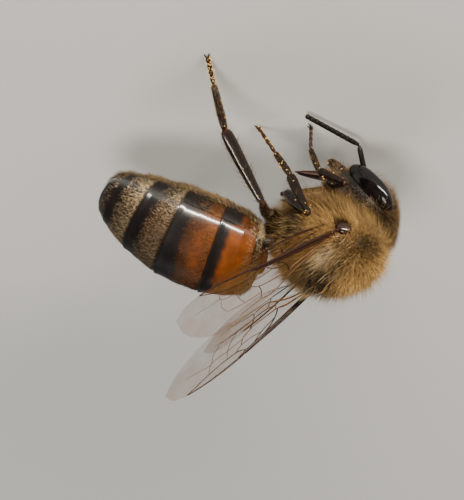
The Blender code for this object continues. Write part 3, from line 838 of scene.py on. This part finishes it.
def vein_surface(given, thick, thin, place):
    """A vein: a round rod along a line on the skin, thinning from one size to another."""

    def surface(u, v):
        reach, back = line_through(given, u)
        ahead = line_through(given, np.clip(u + 0.01, 0, 1))
        behind = line_through(given, np.clip(u - 0.01, 0, 1))
        way = np.stack([ahead[0] - behind[0], ahead[1] - behind[1]], axis=-1)
        way = way / np.maximum(np.linalg.norm(way, axis=-1, keepdims=True), 1e-9)
        turn = 2 * np.pi * v
        size = (thick + (thin - thick) * u) * np.sqrt(np.clip(30 * u * (1 - u), 0, 1))
        shift = np.cos(turn) * size
        return place(reach - way[..., 1] * shift, back + way[..., 0] * shift, np.sin(turn) * size)
    return surface


wing_skin, skin_tree, skin_shader = new_material("wing_skin", {
    "Roughness": 0.16, "Specular IOR Level": 0.30,
})
skin_where = add_node(skin_tree, "TexCoord", {}).outputs["Object"]
skin_cloud = add_node(skin_tree, "TexNoise", {"Vector": skin_where, "Scale": 900.0, "Detail": 3.0})
skin_clear = add_node(skin_tree, "MapRange", {
    "Value": skin_cloud.outputs["Fac"], "From Min": 0.3, "From Max": 0.7, "To Min": 0.12, "To Max": 0.24,
})
skin_hairs = add_node(skin_tree, "TexVoronoi", {"Vector": skin_where, "Scale": 14000.0})
skin_relief = add_node(skin_tree, "Bump", {
    "Strength": 0.35, "Distance": 0.006 * MM, "Height": skin_hairs.outputs["Distance"],
})
fill(skin_shader, {
    "Base Color": clouded(skin_cloud, (0.30, (0.12, 0.050, 0.012, 1)), (0.75, (0.26, 0.125, 0.032, 1))),
    "Alpha": skin_clear.outputs["Result"],
    "Normal": skin_relief.outputs["Normal"],
})
vein_shell = shell_finish("wing_vein", 0.26, 50000.0, 3500.0, 0.003 * MM, 0.3)
for name, hinge, root, edge, trail, brown, glinting in (
    ("forewing", FOREWING_HINGE, FOREWING_ROOT, FOREWING_EDGE, FOREWING_TRAIL,
     FOREWING_VEINS, FOREWING_GLINT_VEINS),
    ("hindwing", HINDWING_HINGE, HINDWING_ROOT, HINDWING_EDGE, HINDWING_TRAIL,
     HINDWING_VEINS, HINDWING_GLINT_VEINS),
):
    for side in ("left", "right"):
        place = wing_plane(hinge, root, side)
        sheet = wrapped(blade_surface(edge, trail, place), 90, 64)
        blade = build(name + "_skin_" + side, sheet, wing_skin)
        parts, tints = [], []
        # the glinting veins carry the painted highlight colour
        for veins, tint in ((brown, VEIN_BROWN), (glinting, VEIN_GLINT_GOLD)):
            for thick, thin, line in veins:
                parts.append(wrapped(vein_surface(line, thick, thin, place), 30, 10))
                tints.append(np.tile(tint, (len(parts[-1][0]), 1)))
        build(name + "_veins_" + side, joined(parts), vein_shell, np.vstack(tints))
        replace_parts(blade, name + "_" + side)

# The coat on the chest is a deep fluff of tan hairs, brown at the roots, over the whole chest but the hinge
# caps. It stands out from the back and lies backwards on the sides. Dark locks cling together between the
# wings, cream ones behind each hinge, and long pale hairs hang down between the legs. The coat's colour also
# carries painted shade between the wings, next to the head, towards the waist and at each tuft's root, and a
# painted glow on its top rim.
PATCH = 0.003  # each tuft's share of the map that its colour is baked to
CHEST_BROWN = np.array([0.180, 0.090, 0.024])
CHEST_TAN = np.array([0.47, 0.275, 0.085])
CHEST_GOLD = np.array([0.27, 0.145, 0.038])
CHEST_DARK = np.array([0.022, 0.012, 0.007])
CHEST_CREAM = np.array([0.66, 0.49, 0.26])
BETWEEN_WINGS = (0.62, -0.15, 6.60)
SHOULDER = (-1.05, -1.15, 5.55)
SHOULDER_REACH = (0.75, 0.8, 0.8)
CREAM_TUFT = (0.44, -1.27, 6.08)
CREAM_REACH = (0.34, 0.30, 0.40)
BREAST_TAN = np.array([0.29, 0.165, 0.055])
STRAND_GOLD = np.array([0.46, 0.32, 0.13])
TUFT_POINTS = 7  # three round the root, three half way, and the tip
# painted shade: each tuft is darkest at its root, deep in the coat where the hairs shade each other
TUFT_PAINTED_SHADE_RAMP = np.repeat([0.12, 0.72, 1.60], [3, 3, 1])
ROOT_DEPTH = 0.03
NUDGE = 0.003  # a small step in u or v, to feel a surface's slope
TRIES = 8  # places tried for each one that is picked
SHORT_TUFTS = 19500  # on each side of the chest
LONG_TUFTS = 17000
BREAST_TUFTS = 3600


def unit(ways):
    """Each way at a length of 1."""
    return ways / np.maximum(np.linalg.norm(ways, axis=-1, keepdims=True), 1e-12)


def rooted(surface, count, chance, seed):
    """Places on a surface picked by chance, by area times a given liking: points, outward ways, ways along,
    (u, v), and the source of chance. The outward way is square to the two slopes of the surface."""
    random = np.random.default_rng(seed)
    u = random.uniform(2 * NUDGE, 1 - 2 * NUDGE, count * TRIES)
    v = random.uniform(0.0, 1.0, count * TRIES)
    points = surface(u, v)
    along = surface(u + NUDGE, v) - surface(u - NUDGE, v)
    around = surface(u, v + NUDGE) - surface(u, v - NUDGE)
    outward = np.cross(along, around)
    area = np.linalg.norm(outward, axis=1)
    outward = unit(outward) * np.sign(np.einsum("ij,ij->i", outward, points - surface(u, v + 0.5)))[:, None]
    liking = area * np.clip(chance(u, v, points), 0, None)
    picked = random.choice(len(u), count, replace=False, p=liking / liking.sum())
    return points[picked], outward[picked], unit(along[picked]), np.stack([u, v], axis=1)[picked], random


def tufts(roots, outward, ways, droop, lengths, widths, colours, spots, random):
    """Tapered three-sided strands from below the skin: a ring at the root, a thinner one at half way, which
    has a quarter of the droop, and the tip, which has all of it. Each is darkened at the root, as painted
    shade deep in the coat, and bright at the tip, and is one patch at its root's (u, v)."""
    count = len(roots)
    ways = unit(ways + random.normal(0, 0.16, (count, 3)))
    across = unit(np.cross(ways, outward + random.normal(0, 0.2, (count, 3))))
    above = np.cross(ways, across)
    turn = random.uniform(0, 2 * np.pi, count)[:, None] + np.array([0, 2, 4]) * np.pi / 3
    ring = np.cos(turn)[..., None] * across[:, None] + np.sin(turn)[..., None] * above[:, None]
    length, width = lengths[:, None], widths[:, None, None]
    base = roots - outward * ROOT_DEPTH
    middle = base + ways * length * 0.52 + droop * length * 0.26
    tip = base + ways * length + droop * length
    rings = [base[:, None] + ring * width, middle[:, None] + ring * width * 0.75]
    points = np.concatenate([*rings, tip[:, None]], axis=1)
    shape = np.array([[0, 1, 4], [0, 4, 3], [1, 2, 5], [1, 5, 4], [2, 0, 3], [2, 3, 5], [3, 4, 6], [4, 5, 6],
                      [5, 3, 6], [0, 2, 1]])
    faces = shape[None] + TUFT_POINTS * np.arange(count)[:, None, None]
    corner = np.array([[-1, -1], [0, -1], [1, -1], [-1, 0], [0, 0], [1, 0], [0, 1]]) * PATCH / 2
    patches = np.clip(spots, PATCH, 1 - PATCH)[:, None] + corner[None]
    shade = TUFT_PAINTED_SHADE_RAMP[None, :, None] * colours[:, None]
    return points.reshape(-1, 3), faces.reshape(-1, 3), patches.reshape(-1, 2), shade.reshape(-1, 3)


FRINGE_START = -2.50  # where the fringe starts to be drawn in, on the bee's middle line
FRINGE_ROOM = (0.24, 0.60)  # how far past it tips may still reach
FRINGE_ROUND = 0.10  # how fast its start moves back to the sides


def grow(name, growth, finish):
    """One coat piece from several growths of tufts. In front of the head and chest, tips past a given place
    are drawn in more and more, each within its own room, so that the fringe ends softly and rounds off to
    the sides."""
    points, faces, patches, shades = joined(growth)
    random = np.random.default_rng(len(points))
    room = random.uniform(*FRINGE_ROOM, len(points) // TUFT_POINTS).repeat(TUFT_POINTS)
    ahead = np.maximum(FRINGE_START + FRINGE_ROUND * points[:, 1] ** 2 - points[:, 0], 0.0)
    points[:, 0] += ahead - room * (1 - np.exp(-ahead / room))
    return build(name, (points, faces), finish, shades, patches)


def coat_finish(name, roughness):
    """Hair: its own colour, a little lighter and darker along and between tufts, with a soft satin gloss."""
    made, tree, shader = new_material(name, {"Roughness": roughness, "Specular IOR Level": 0.35})
    paint = add_node(tree, "Attribute", {}, attribute_name="marking")
    grained(tree, shader, 30000.0, 6000.0, paint.outputs["Color"])
    return made


def near(points, place, reach):
    """1 at a place on the left or right side, fading to 0 a reach away."""
    mirrored = np.stack([points[:, 0], -np.abs(points[:, 1]), points[:, 2]], axis=1)
    return np.exp(-(((mirrored - np.array(place)) / reach) ** 2).sum(axis=1))


def patch_at(points, place, reach):
    """The same as near, but wholly 1 over the middle, as a column to mix colours by."""
    return np.clip(near(points, place, reach) * 1.6, 0, 1)[:, None]


def own_side(way, roots):
    """A way given for the left side, turned over for the roots on the right."""
    same = np.ones(len(roots))
    return np.array(way) * np.stack([same, -np.sign(roots[:, 1]), same], axis=1)


def on_half(liking, half):
    """A liking kept to one half of a surface: 0 is the left, where v is below a half, and 1 is the right."""
    return lambda u, v, points: liking(u, v, points) * (np.floor(2 * v) == half)


def fluff_tint(points, share, random):
    """The chest coat's colour: brown in the deep coat and tan in the long hairs, dark between the wings and
    on the shoulders, cream behind the hinges. Between the wings the dark hair is deepened by painted shade
    in the groove there. Painted shade also darkens the coat next to the head and most hairs towards the
    waist.
    The top and the front crest are paler: pale hair, with a painted glow where light shines through the top
    rim."""
    tint = CHEST_BROWN * (1 - share) + CHEST_TAN * share
    low = step_up(-points[:, 2], -5.1, -4.2)[:, None]
    strand = np.where(random.uniform(0, 1, len(points)) < 0.40, 0.40, 1.15)[:, None]
    tint = tint * (1 - low) + CHEST_GOLD * low * (0.15 + 0.50 * share) * strand
    shoulder = near(points, SHOULDER, SHOULDER_REACH)[:, None]
    # painted shade: the front of the coat darkens next to the head
    painted_neck_shade = step_up(-points[:, 0], 1.2, 1.9)[:, None]
    # partly painted light: the top rim and front crest are paler, pale hair with a painted glow through the
    # top rim
    crest = step_up(-points[:, 0], 1.3, 1.8) * step_up(points[:, 2], 4.9, 5.5)
    pale_hair_and_glow = step_up(points[:, 2], 6.3, 7.2) + crest
    tint = tint * (1 - 0.66 * shoulder) * (1 - 0.52 * painted_neck_shade) * (1 + 1.20 * pale_hair_and_glow[:, None] * share)
    # painted shade: most hairs at the back of the chest darken, next to the waist
    rear = step_up(points[:, 0], 1.0, 1.8) * step_up(random.uniform(0, 1, len(points)), 0.16, 0.32)
    tint = tint * (1 - 0.72 * rear)[:, None]
    # dark hair between the wings, deepened by painted shade in the groove there
    dark = patch_at(points, BETWEEN_WINGS, (0.78, 1.00, 0.8))
    dark = dark * step_up(random.uniform(0, 1, len(points)), 0.05, 0.30)[:, None]
    tint = tint * (1 - dark) + CHEST_DARK * dark
    cream = patch_at(points, CREAM_TUFT, CREAM_REACH)
    streak = random.uniform(0, 1, len(points))[:, None]
    tint = tint * (1 - cream) + (CHEST_CREAM * step_up(streak, 0.30, 0.55) + CHEST_DARK) * cream
    patchy = 1 + 0.22 * wander(points, 2.2, 21) + 0.10 * wander(points, 5.0, 22)
    return tint * (patchy + random.normal(0, 0.16, len(points)))[:, None].clip(0.35, 1.8)


fluff = coat_finish("chest_fluff", 0.55)


def bare_hinge(points):
    """0 on the hinge caps and 1 away from them."""
    return step_up(-near(points, TEGULA_PLACE, (0.46, 0.6, 0.36)), -0.55, -0.30)


def off_thighs(points):
    """0 where a thigh of the middle or hind legs lies against the chest, and 1 away from them."""
    clear = np.ones(len(points))
    for leg in ("mid_left", "mid_right", "hind_left", "hind_right"):
        start, end = np.array(LEG_JOINTS[leg][1]), np.array(LEG_JOINTS[leg][2])
        share = np.clip((points - start) @ (end - start) / ((end - start) @ (end - start)), 0, 1)
        gap = np.linalg.norm(points - start - share[:, None] * (end - start), axis=1)
        clear = np.minimum(clear, step_up(gap, 0.50, 0.85))
    return clear


def chest_liking(u, v, points):
    """Where the chest's hairs grow: all over, but thinly between the wings, low on the sides and towards
    the waist, and not on the hinge caps or under the thighs."""
    low = step_up(-points[:, 2], -5.0, -4.2)
    rear = step_up(points[:, 0], 1.15, 1.75) * step_up(-points[:, 2], -6.1, -5.6)
    thin = (1 - 0.45 * near(points, BETWEEN_WINGS, (0.5, 0.6, 0.6))) * (1 - 0.65 * low) * (1 - 0.90 * rear)
    return bare_hinge(points) * off_thighs(points) * thin


def chest_hairs(count, chance, seed, longest, share, width):
    """The chest's hairs: they stand out above, and lie back and down on the sides and below."""
    roots, outward, along, spots, random = rooted(thorax_surface, count, chance, seed)
    low = step_up(-np.cos(2 * np.pi * spots[:, 1]), -0.35, 0.45)[:, None]
    between = near(roots, BETWEEN_WINGS, (0.6, 0.9, 0.7))
    shoulder = near(roots, SHOULDER, SHOULDER_REACH)
    spread = 0.42 + 0.45 * random.uniform(0, 1, count) + share * 0.55 * random.uniform(0, 1, count) ** 5
    length = longest * spread * (1 - 0.20 * between - 0.42 * shoulder) * (1 + 0.10 * low[:, 0])
    clumps = np.stack([wander(roots, 3.2, k) for k in (1, 2, 3)], axis=1)
    ways = outward * (1 - 0.20 * low) + along * (0.15 + 0.35 * low) + 0.20 * clumps
    ways = ways + low * np.array([0, 0, -0.25])
    droop = along * (0.22 + 0.20 * low) + low * np.array([0, 0, -0.18])
    droop = droop * random.uniform(0.3, 1.4, count)[:, None]
    brush = patch_at(roots, CREAM_TUFT, CREAM_REACH)
    length = length * (1 + 0.60 * brush[:, 0])
    ways = ways * (1 - 0.5 * brush) + brush * own_side((0.9, 0.5, 0.8), roots)
    return tufts(roots, outward, ways, droop, length, width * random.uniform(0.7, 1.3, count),
                 fluff_tint(roots, share, random), spots, random)


def strands(surface, count, chance, seed, comb, colour, shades, lengths, widths):
    """Simple hairs on a surface. Chance draws each one's shade, length and width from a range, and comb
    gives their way and their droop from the outward way and the way along."""
    roots, outward, along, spots, random = rooted(surface, count, chance, seed)
    tint = colour * random.uniform(*shades, count)[:, None]
    length = random.uniform(*lengths, count)
    width = random.uniform(*widths, count)
    return tufts(roots, outward, *comb(outward, along), length, width, tint, spots, random)


def locks(place, reach, count, way, widths, lengths, colour, shades, seed):
    """Hairs that cling together in thicker strands on both sides of one place, and lie one way."""
    roots, outward, along, spots, random = rooted(
        thorax_surface, count,
        lambda u, v, p: near(p, place, reach) * step_up(np.abs(p[:, 1]), 0.1, 0.3), seed)
    ways = own_side(way, roots) + 0.45 * outward
    length = random.uniform(*lengths, count)
    width = random.uniform(*widths, count)
    tint = colour * random.uniform(*shades, count)[:, None]
    return tufts(roots, outward, ways, 0.12 * along, length, width, tint, spots, random)


for half, side in enumerate(("left", "right")):
    short = chest_hairs(SHORT_TUFTS, on_half(chest_liking, half), 31 + half, 0.46, 0.25, 0.0088)
    grow("coat_chest_" + side, [short], fluff)
long = chest_hairs(LONG_TUFTS, chest_liking, 33, 0.92, 1.0, 0.0052)
grow("coat_chest_long", [long], fluff)
grow("coat_breast", [strands(
    thorax_surface, BREAST_TUFTS,
    lambda u, v, p: step_up(-p[:, 2], -4.5, -3.9) * step_up(p[:, 0], -0.9, 0.2), 34,
    lambda outward, along: (outward * 0.7 + np.array([0.25, 0.0, -0.55]), 0.2 * along),
    BREAST_TAN, (0.4, 1.3), (0.35, 1.0), (0.004, 0.007),
)], fluff)
grow("coat_chest_locks", [
    locks((0.24, -1.55, 5.74), (0.20, 0.30, 0.20), 170, (1.0, 0.40, 0.85),
          (0.011, 0.019), (0.5, 0.95), CHEST_CREAM, (0.65, 1.10), 35),
    locks((0.50, -0.75, 6.95), (0.36, 0.42, 0.40), 380, (0.45, 0.20, 0.40),
          (0.010, 0.017), (0.45, 0.85), CHEST_DARK, (0.6, 1.8), 36),
    locks((1.65, -1.50, 5.25), (0.35, 0.50, 0.35), 120, (0.7, 0.0, 0.3),
          (0.008, 0.012), (0.4, 0.8), STRAND_GOLD, (0.6, 1.1), 37),
], fluff)

# The head's coat is short and grey on the face and cheeks, long, brown and upright on the crown and behind
# it, and a paler fuzz round the mouth and on the jaws. Long brown hairs stand out from the brow between the
# eyes, and the eyes themselves are left bare.
FACE_GREY = np.array([0.21, 0.165, 0.12])
CROWN_BROWN = np.array([0.165, 0.095, 0.034])
MOUTH_FUZZ = np.array([0.34, 0.215, 0.11])
BROW_BROWN = np.array([0.24, 0.135, 0.042])
HEAD_TUFTS = 15500
LIP_TUFTS = 1100
BROW_TUFTS = 2600
JAW_TUFTS = 260  # on each jaw


def towards_mouth(points):
    """How far points are towards the mouth from the head's middle."""
    return (points - HEAD_CENTRE) @ TO_MOUTH


def towards_back(points):
    """How far points are towards the back of the head from its middle."""
    return (points - HEAD_CENTRE) @ TO_BACK


def off_eyes(points):
    """0 inside the large eyes and 1 outside them."""
    down = towards_mouth(points) + EYE_UP
    back = towards_back(points) - EYE_BACK
    side = np.abs(points[:, 1]) - EYE_SIDE
    depth = (down / EYE_HALF[0]) ** 2 + (side / EYE_HALF[1]) ** 2 + (back / EYE_HALF[2]) ** 2
    return step_up(depth, 1.0, 1.06)


def crown_share(points):
    """1 on the crown and the back of the head, 0 on the face and cheeks."""
    down, back = towards_mouth(points), towards_back(points)
    brow = step_up(-back, 0.30, 0.62) * step_up(-down, -0.55, 0.25)
    nape = step_up(back, 0.45, 0.75) * step_up(-down, -0.9, 0.2)
    return np.clip(step_up(-down, 0.55, 1.05) + nape + brow, 0, 1)


def mouth_share(points):
    """1 round the mouth, 0 elsewhere on the head."""
    return step_up(towards_mouth(points), 1.25, 1.60)


def brow_liking(u, v, points):
    """Where the long brow hairs grow: on the upper face, between the large eyes."""
    down, back = towards_mouth(points), towards_back(points)
    inner = step_up(np.abs(points[:, 1]), 0.35, 0.85)
    return step_up(-back, 0.15, 0.45) * step_up(-down, -0.75, -0.30) * (0.3 + inner) * off_eyes(points)


roots, outward, along, spots, random = rooted(
    head_surface, HEAD_TUFTS,
    lambda u, v, p: off_eyes(p) * (0.40 + 0.9 * crown_share(p) + 0.6 * mouth_share(p)), 41)
crown = crown_share(roots)[:, None]
mouth = mouth_share(roots)[:, None]
tint = FACE_GREY * (1 - crown) + CROWN_BROWN * crown
tint = tint * (1 - mouth) + MOUTH_FUZZ * mouth
patchy = 1 + 0.18 * wander(roots, 3.0, 42) + random.normal(0, 0.16, HEAD_TUFTS)
tint = tint * patchy[:, None].clip(0.4, 1.7)
length = (0.11 + 0.72 * crown[:, 0] + 0.20 * mouth[:, 0]) * (0.30 + 0.90 * random.uniform(0, 1, HEAD_TUFTS))
ways = outward * (0.35 + 0.6 * crown + 0.4 * mouth) + 0.6 * along * (1 - 1.4 * crown)
tint = tint * np.where(random.uniform(0, 1, HEAD_TUFTS) < 0.45 * crown[:, 0], 0.35, 1.0)[:, None]
width = 0.0055 + 0.0030 * random.uniform(0, 1, HEAD_TUFTS)
head_growth = [
    tufts(roots, outward, ways, 0.15 * along, length, width, tint, spots, random),
    strands(head_surface, LIP_TUFTS, lambda u, v, p: step_up(towards_mouth(p), 1.15, 1.60), 47,
            lambda outward, along: (0.9 * TO_MOUTH + 0.6 * outward, 0 * outward),
            MOUTH_FUZZ, (0.15, 1.1), (0.25, 0.62), (0.004, 0.006)),
    strands(head_surface, BROW_TUFTS, brow_liking, 46,
            lambda outward, along: (-TO_BACK + 0.35 * outward - 0.35 * TO_MOUTH, -0.1 * TO_MOUTH),
            BROW_BROWN, (0.3, 1.5), (0.40, 1.0), (0.004, 0.007)),
]
for seed, jaw in enumerate(jaws):
    head_growth.append(strands(
        jaw, JAW_TUFTS, lambda u, v, p: 1.3 - u, 43 + seed,
        lambda outward, along: (outward * 0.9 + along * 0.5, 0.1 * along),
        MOUTH_FUZZ, (0.2, 1.5), (0.10, 0.36), (0.004, 0.006)))
grow("coat_head", head_growth, coat_finish("head_fluff", 0.55))

# The belly and back of the abdomen wear short hair that lies backwards: thick felt at the front of the
# middle rings, long fluff beside the waist, a golden fringe underneath and sparse black down on the bands.
FELT_TAN = np.array([0.50, 0.37, 0.205])
FRINGE_GOLD = np.array([0.24, 0.155, 0.070])
DOWN_BLACK = np.array([0.014, 0.009, 0.006])
AMBER_DOWN = np.array([0.24, 0.120, 0.040])
FELT_LENGTHS = np.array([0.5, 0.25, 1.20, 0.97, 0.80, 0.38])
FELT_LIKING = np.array([0.6, 0.10, 0.50, 1.4, 1.9, 0.35])
BACK_TUFTS = 17000  # on each side of the abdomen
BELLY_TUFTS = 14000


def abdomen_distance(u):
    """How far behind the waist the abdomen's coat is rooted, at u from front to back."""
    return 0.10 + u * (ABDOMEN_LENGTH - 0.15)


def abdomen_skin(u, v):
    """The whole abdomen as one surface, from the waist to the tip."""
    return round_abdomen(abdomen_distance(u), 2 * np.pi * v, 0.985)


def felt_share(points, u):
    """1 on the tan felt at the front of each ring, 0 on its bare or black rear, with the ring's number and
    the distance along."""
    distance = abdomen_distance(u)
    number = np.clip(np.searchsorted(RING_ENDS, distance), 1, 6)
    past = distance - RING_ENDS[number - 1]
    edge = FELT_LENGTHS[number - 1] + 0.07 * wander(points, 2.0, 51) + 0.05 * wander(points, 7.0, 56)
    return step_up(-past, -edge - 0.12, -edge + 0.12), number, distance


def belly_share(v):
    """1 on the underside of the abdomen and 0 above the side ridge."""
    return step_up(from_top(2 * np.pi * v), 1.92, 2.12)


def back_liking(u, v, points):
    """Where the hairs of the abdomen's back and sides grow: thickest in the felt, thin along the ridge."""
    felt, number, distance = felt_share(points, u)
    bald = 1 - 0.75 * np.exp(-((from_top(2 * np.pi * v) - RIDGE) / 0.10) ** 2)
    thick = felt * FELT_LIKING[number - 1] * (1 - belly_share(v)) + 0.16
    return thick * bald * (1 - belly_share(v))


def belly_liking(u, v, points):
    """Where the hairs of the belly grow: thickest between its dark patches."""
    return belly_share(v) * (0.5 + belly_patch(abdomen_distance(u), points, 0.6, -0.4))


abdomen_fluff = coat_finish("abdomen_fluff", 0.5)
for half, (side, slot) in enumerate((("left", "orange_shell"), ("right", "black_shell"))):
    roots, outward, along, spots, random = rooted(
        abdomen_skin, BACK_TUFTS, on_half(back_liking, half), 52 + half)
    felt, number, distance = felt_share(roots, spots[:, 0])
    felt = felt[:, None]
    base_fluff = step_up(-distance, -0.9, -0.2)[:, None]
    tint = FELT_TAN * felt + DOWN_BLACK * (1 - felt)
    amber_down = (step_up(-distance, -2.6, -1.6)[:, None]) * (1 - felt)
    tint = tint * (1 - amber_down) + AMBER_DOWN * amber_down
    # painted light: the felt is brighter near the side ridge, where the light falls, and darker on the top;
    # the fifth ring is 1.6 times brighter
    from_ridge = from_top(2 * np.pi * spots[:, 1]) - RIDGE
    painted_side_light = 0.46 + 1.15 * np.exp(-(from_ridge / np.where(from_ridge < 0, 0.46, 0.34)) ** 2)
    painted_side_light = painted_side_light * np.where(number == 5, 1.6, 1.0)
    third = (number == 3)[:, None]
    tint = (tint * (1 - third) + AMBER_DOWN * (0.35 + 0.65 * felt) * third) * painted_side_light[:, None]
    mixed = np.where(random.uniform(0, 1, BACK_TUFTS) < 0.42, 0.22, 1.15)
    mixed = mixed + random.normal(0, 0.12, BACK_TUFTS) + 0.15 * wander(roots, 3.0, 53)
    tint = tint * mixed[:, None].clip(0.12, 1.7)
    length = (0.13 + 0.04 * felt[:, 0] + 0.12 * base_fluff[:, 0]) * random.uniform(0.6, 1.3, BACK_TUFTS)
    ways = outward * (0.25 + 0.3 * base_fluff) + along * 0.9
    width = 0.0042 + 0.0028 * random.uniform(0, 1, BACK_TUFTS)
    growth = tufts(roots, outward, ways, 0.0 * along, length, width, tint, spots, random)
    grow("coat_abdomen_" + side, [growth], abdomen_fluff)
roots, outward, along, spots, random = rooted(abdomen_skin, BELLY_TUFTS, belly_liking, 54)
tint = 0.75 + 0.2 * wander(roots, 2.0, 55) + random.normal(0, 0.35, BELLY_TUFTS)
tint = FRINGE_GOLD * tint[:, None].clip(0.15, 1.6)
length = 0.6 + 0.7 * random.uniform(0, 1, BELLY_TUFTS) + 0.8 * random.uniform(0, 1, BELLY_TUFTS) ** 4
width = 0.0070 + 0.004 * random.uniform(0, 1, BELLY_TUFTS)
ways = outward * 0.60 + along * 0.8
growth = tufts(roots, outward, ways, 0.1 * along, 0.22 * length, width, tint, spots, random)
grow("coat_abdomen_belly", [growth], abdomen_fluff)

# The legs' hairs point down towards the feet: dark and short on the thighs, golden brushes on the long foot
# joints, and a fringe of long curved hairs along both edges of each hind shin.
LEG_GOLD = np.array([0.34, 0.20, 0.065])
leg_fluff = coat_finish("leg_fluff", 0.45)
LEG_HAIRS = {
    "front": (420, 200, 150, 260, 40),
    "mid": (420, 200, 160, 300, 40),
    "hind": (420, 260, 330, 620, 40),
}
LEG_LENGTHS = (0.24, 0.17, 0.13, 0.12, 0.07)
LEG_LIGHT = (0.6, 0.35, 0.30, 0.55, 0.6)  # the share of golden hairs on each joint
for leg_number, leg in enumerate(LEG_JOINTS):
    pair = leg.split("_")[0]
    growth = []
    for rod_number, (number, rod) in enumerate(leg_rods(leg)):
        count = LEG_HAIRS[pair][number]
        edge = 1.5 if pair == "hind" and number == 2 else 0.3
        roots, outward, along, spots, random = rooted(
            rod, count, lambda u, v, p: 0.35 + edge * np.abs(np.cos(2 * np.pi * v)) ** 6,
            60 + 12 * leg_number + rod_number)
        fringe = np.abs(np.cos(2 * np.pi * spots[:, 1]))[:, None] ** 6
        light = np.clip(LEG_LIGHT[number] + 0.3 * random.normal(0, 1, count), 0, 1)[:, None]
        tint = DOWN_BLACK * (1 - light) + LEG_GOLD * light
        length = LEG_LENGTHS[number] * (0.6 + 0.7 * random.uniform(0, 1, count))
        length = length * (1 + 1.5 * (edge - 0.3) * fringe[:, 0])
        ways = outward * (0.5 + 0.3 * fringe) + along * 0.75
        width = 0.0048 + 0.003 * random.uniform(0, 1, count)
        growth.append(stand(tufts(roots, outward, ways, 0.25 * along, length, width, tint, spots, random)))
    grow("coat_leg_" + leg, growth, leg_fluff)

# A bee at work is dusted with pollen: loose golden grains, each a tiny ball, cling to its legs, thickest on
# the feet, and to its jaws.
POLLEN_GOLD = (0.66, 0.43, 0.11)
# How many grains cling to each rod of a leg, by the rod's number in LEG_PIECES.
POLLEN_COUNTS = {"front": {2: 8, 3: 10}, "mid": {2: 16, 3: 26, 4: 8}, "hind": {2: 14, 3: 26, 4: 16}}
MOUTH_GRAINS = 12  # on each jaw
pollen = shell_finish("pollen", 0.55, 60000.0, 4000.0, 0.003 * MM, 0.0, POLLEN_GOLD)


def grains(surface, count, seed):
    """Balls of a few faces each that stand just off a surface, at places picked by chance."""
    roots, outward, along, spots, random = rooted(surface, count, lambda u, v, p: 1.0, seed)
    sizes = random.uniform(0.012, 0.034, count)
    centres = roots + outward * (random.uniform(0.01, 0.09, count))[:, None]
    return [wrapped(ball_surface(centre, (size, size, size)), 4, 6) for centre, size in zip(centres, sizes)]


for leg_number, leg in enumerate(LEG_JOINTS):
    dust = []
    counts = POLLEN_COUNTS[leg.split("_")[0]]
    for place, (number, rod) in enumerate(leg_rods(leg)):
        if number in counts:
            dust += grains(rod, counts[number], 200 + 20 * leg_number + place)
    build("pollen_" + leg, stand(joined(dust)), pollen)
dust = [grain for place, jaw in enumerate(jaws) for grain in grains(jaw, MOUTH_GRAINS, 400 + place)]
build("pollen_mouth", joined(dust), pollen)
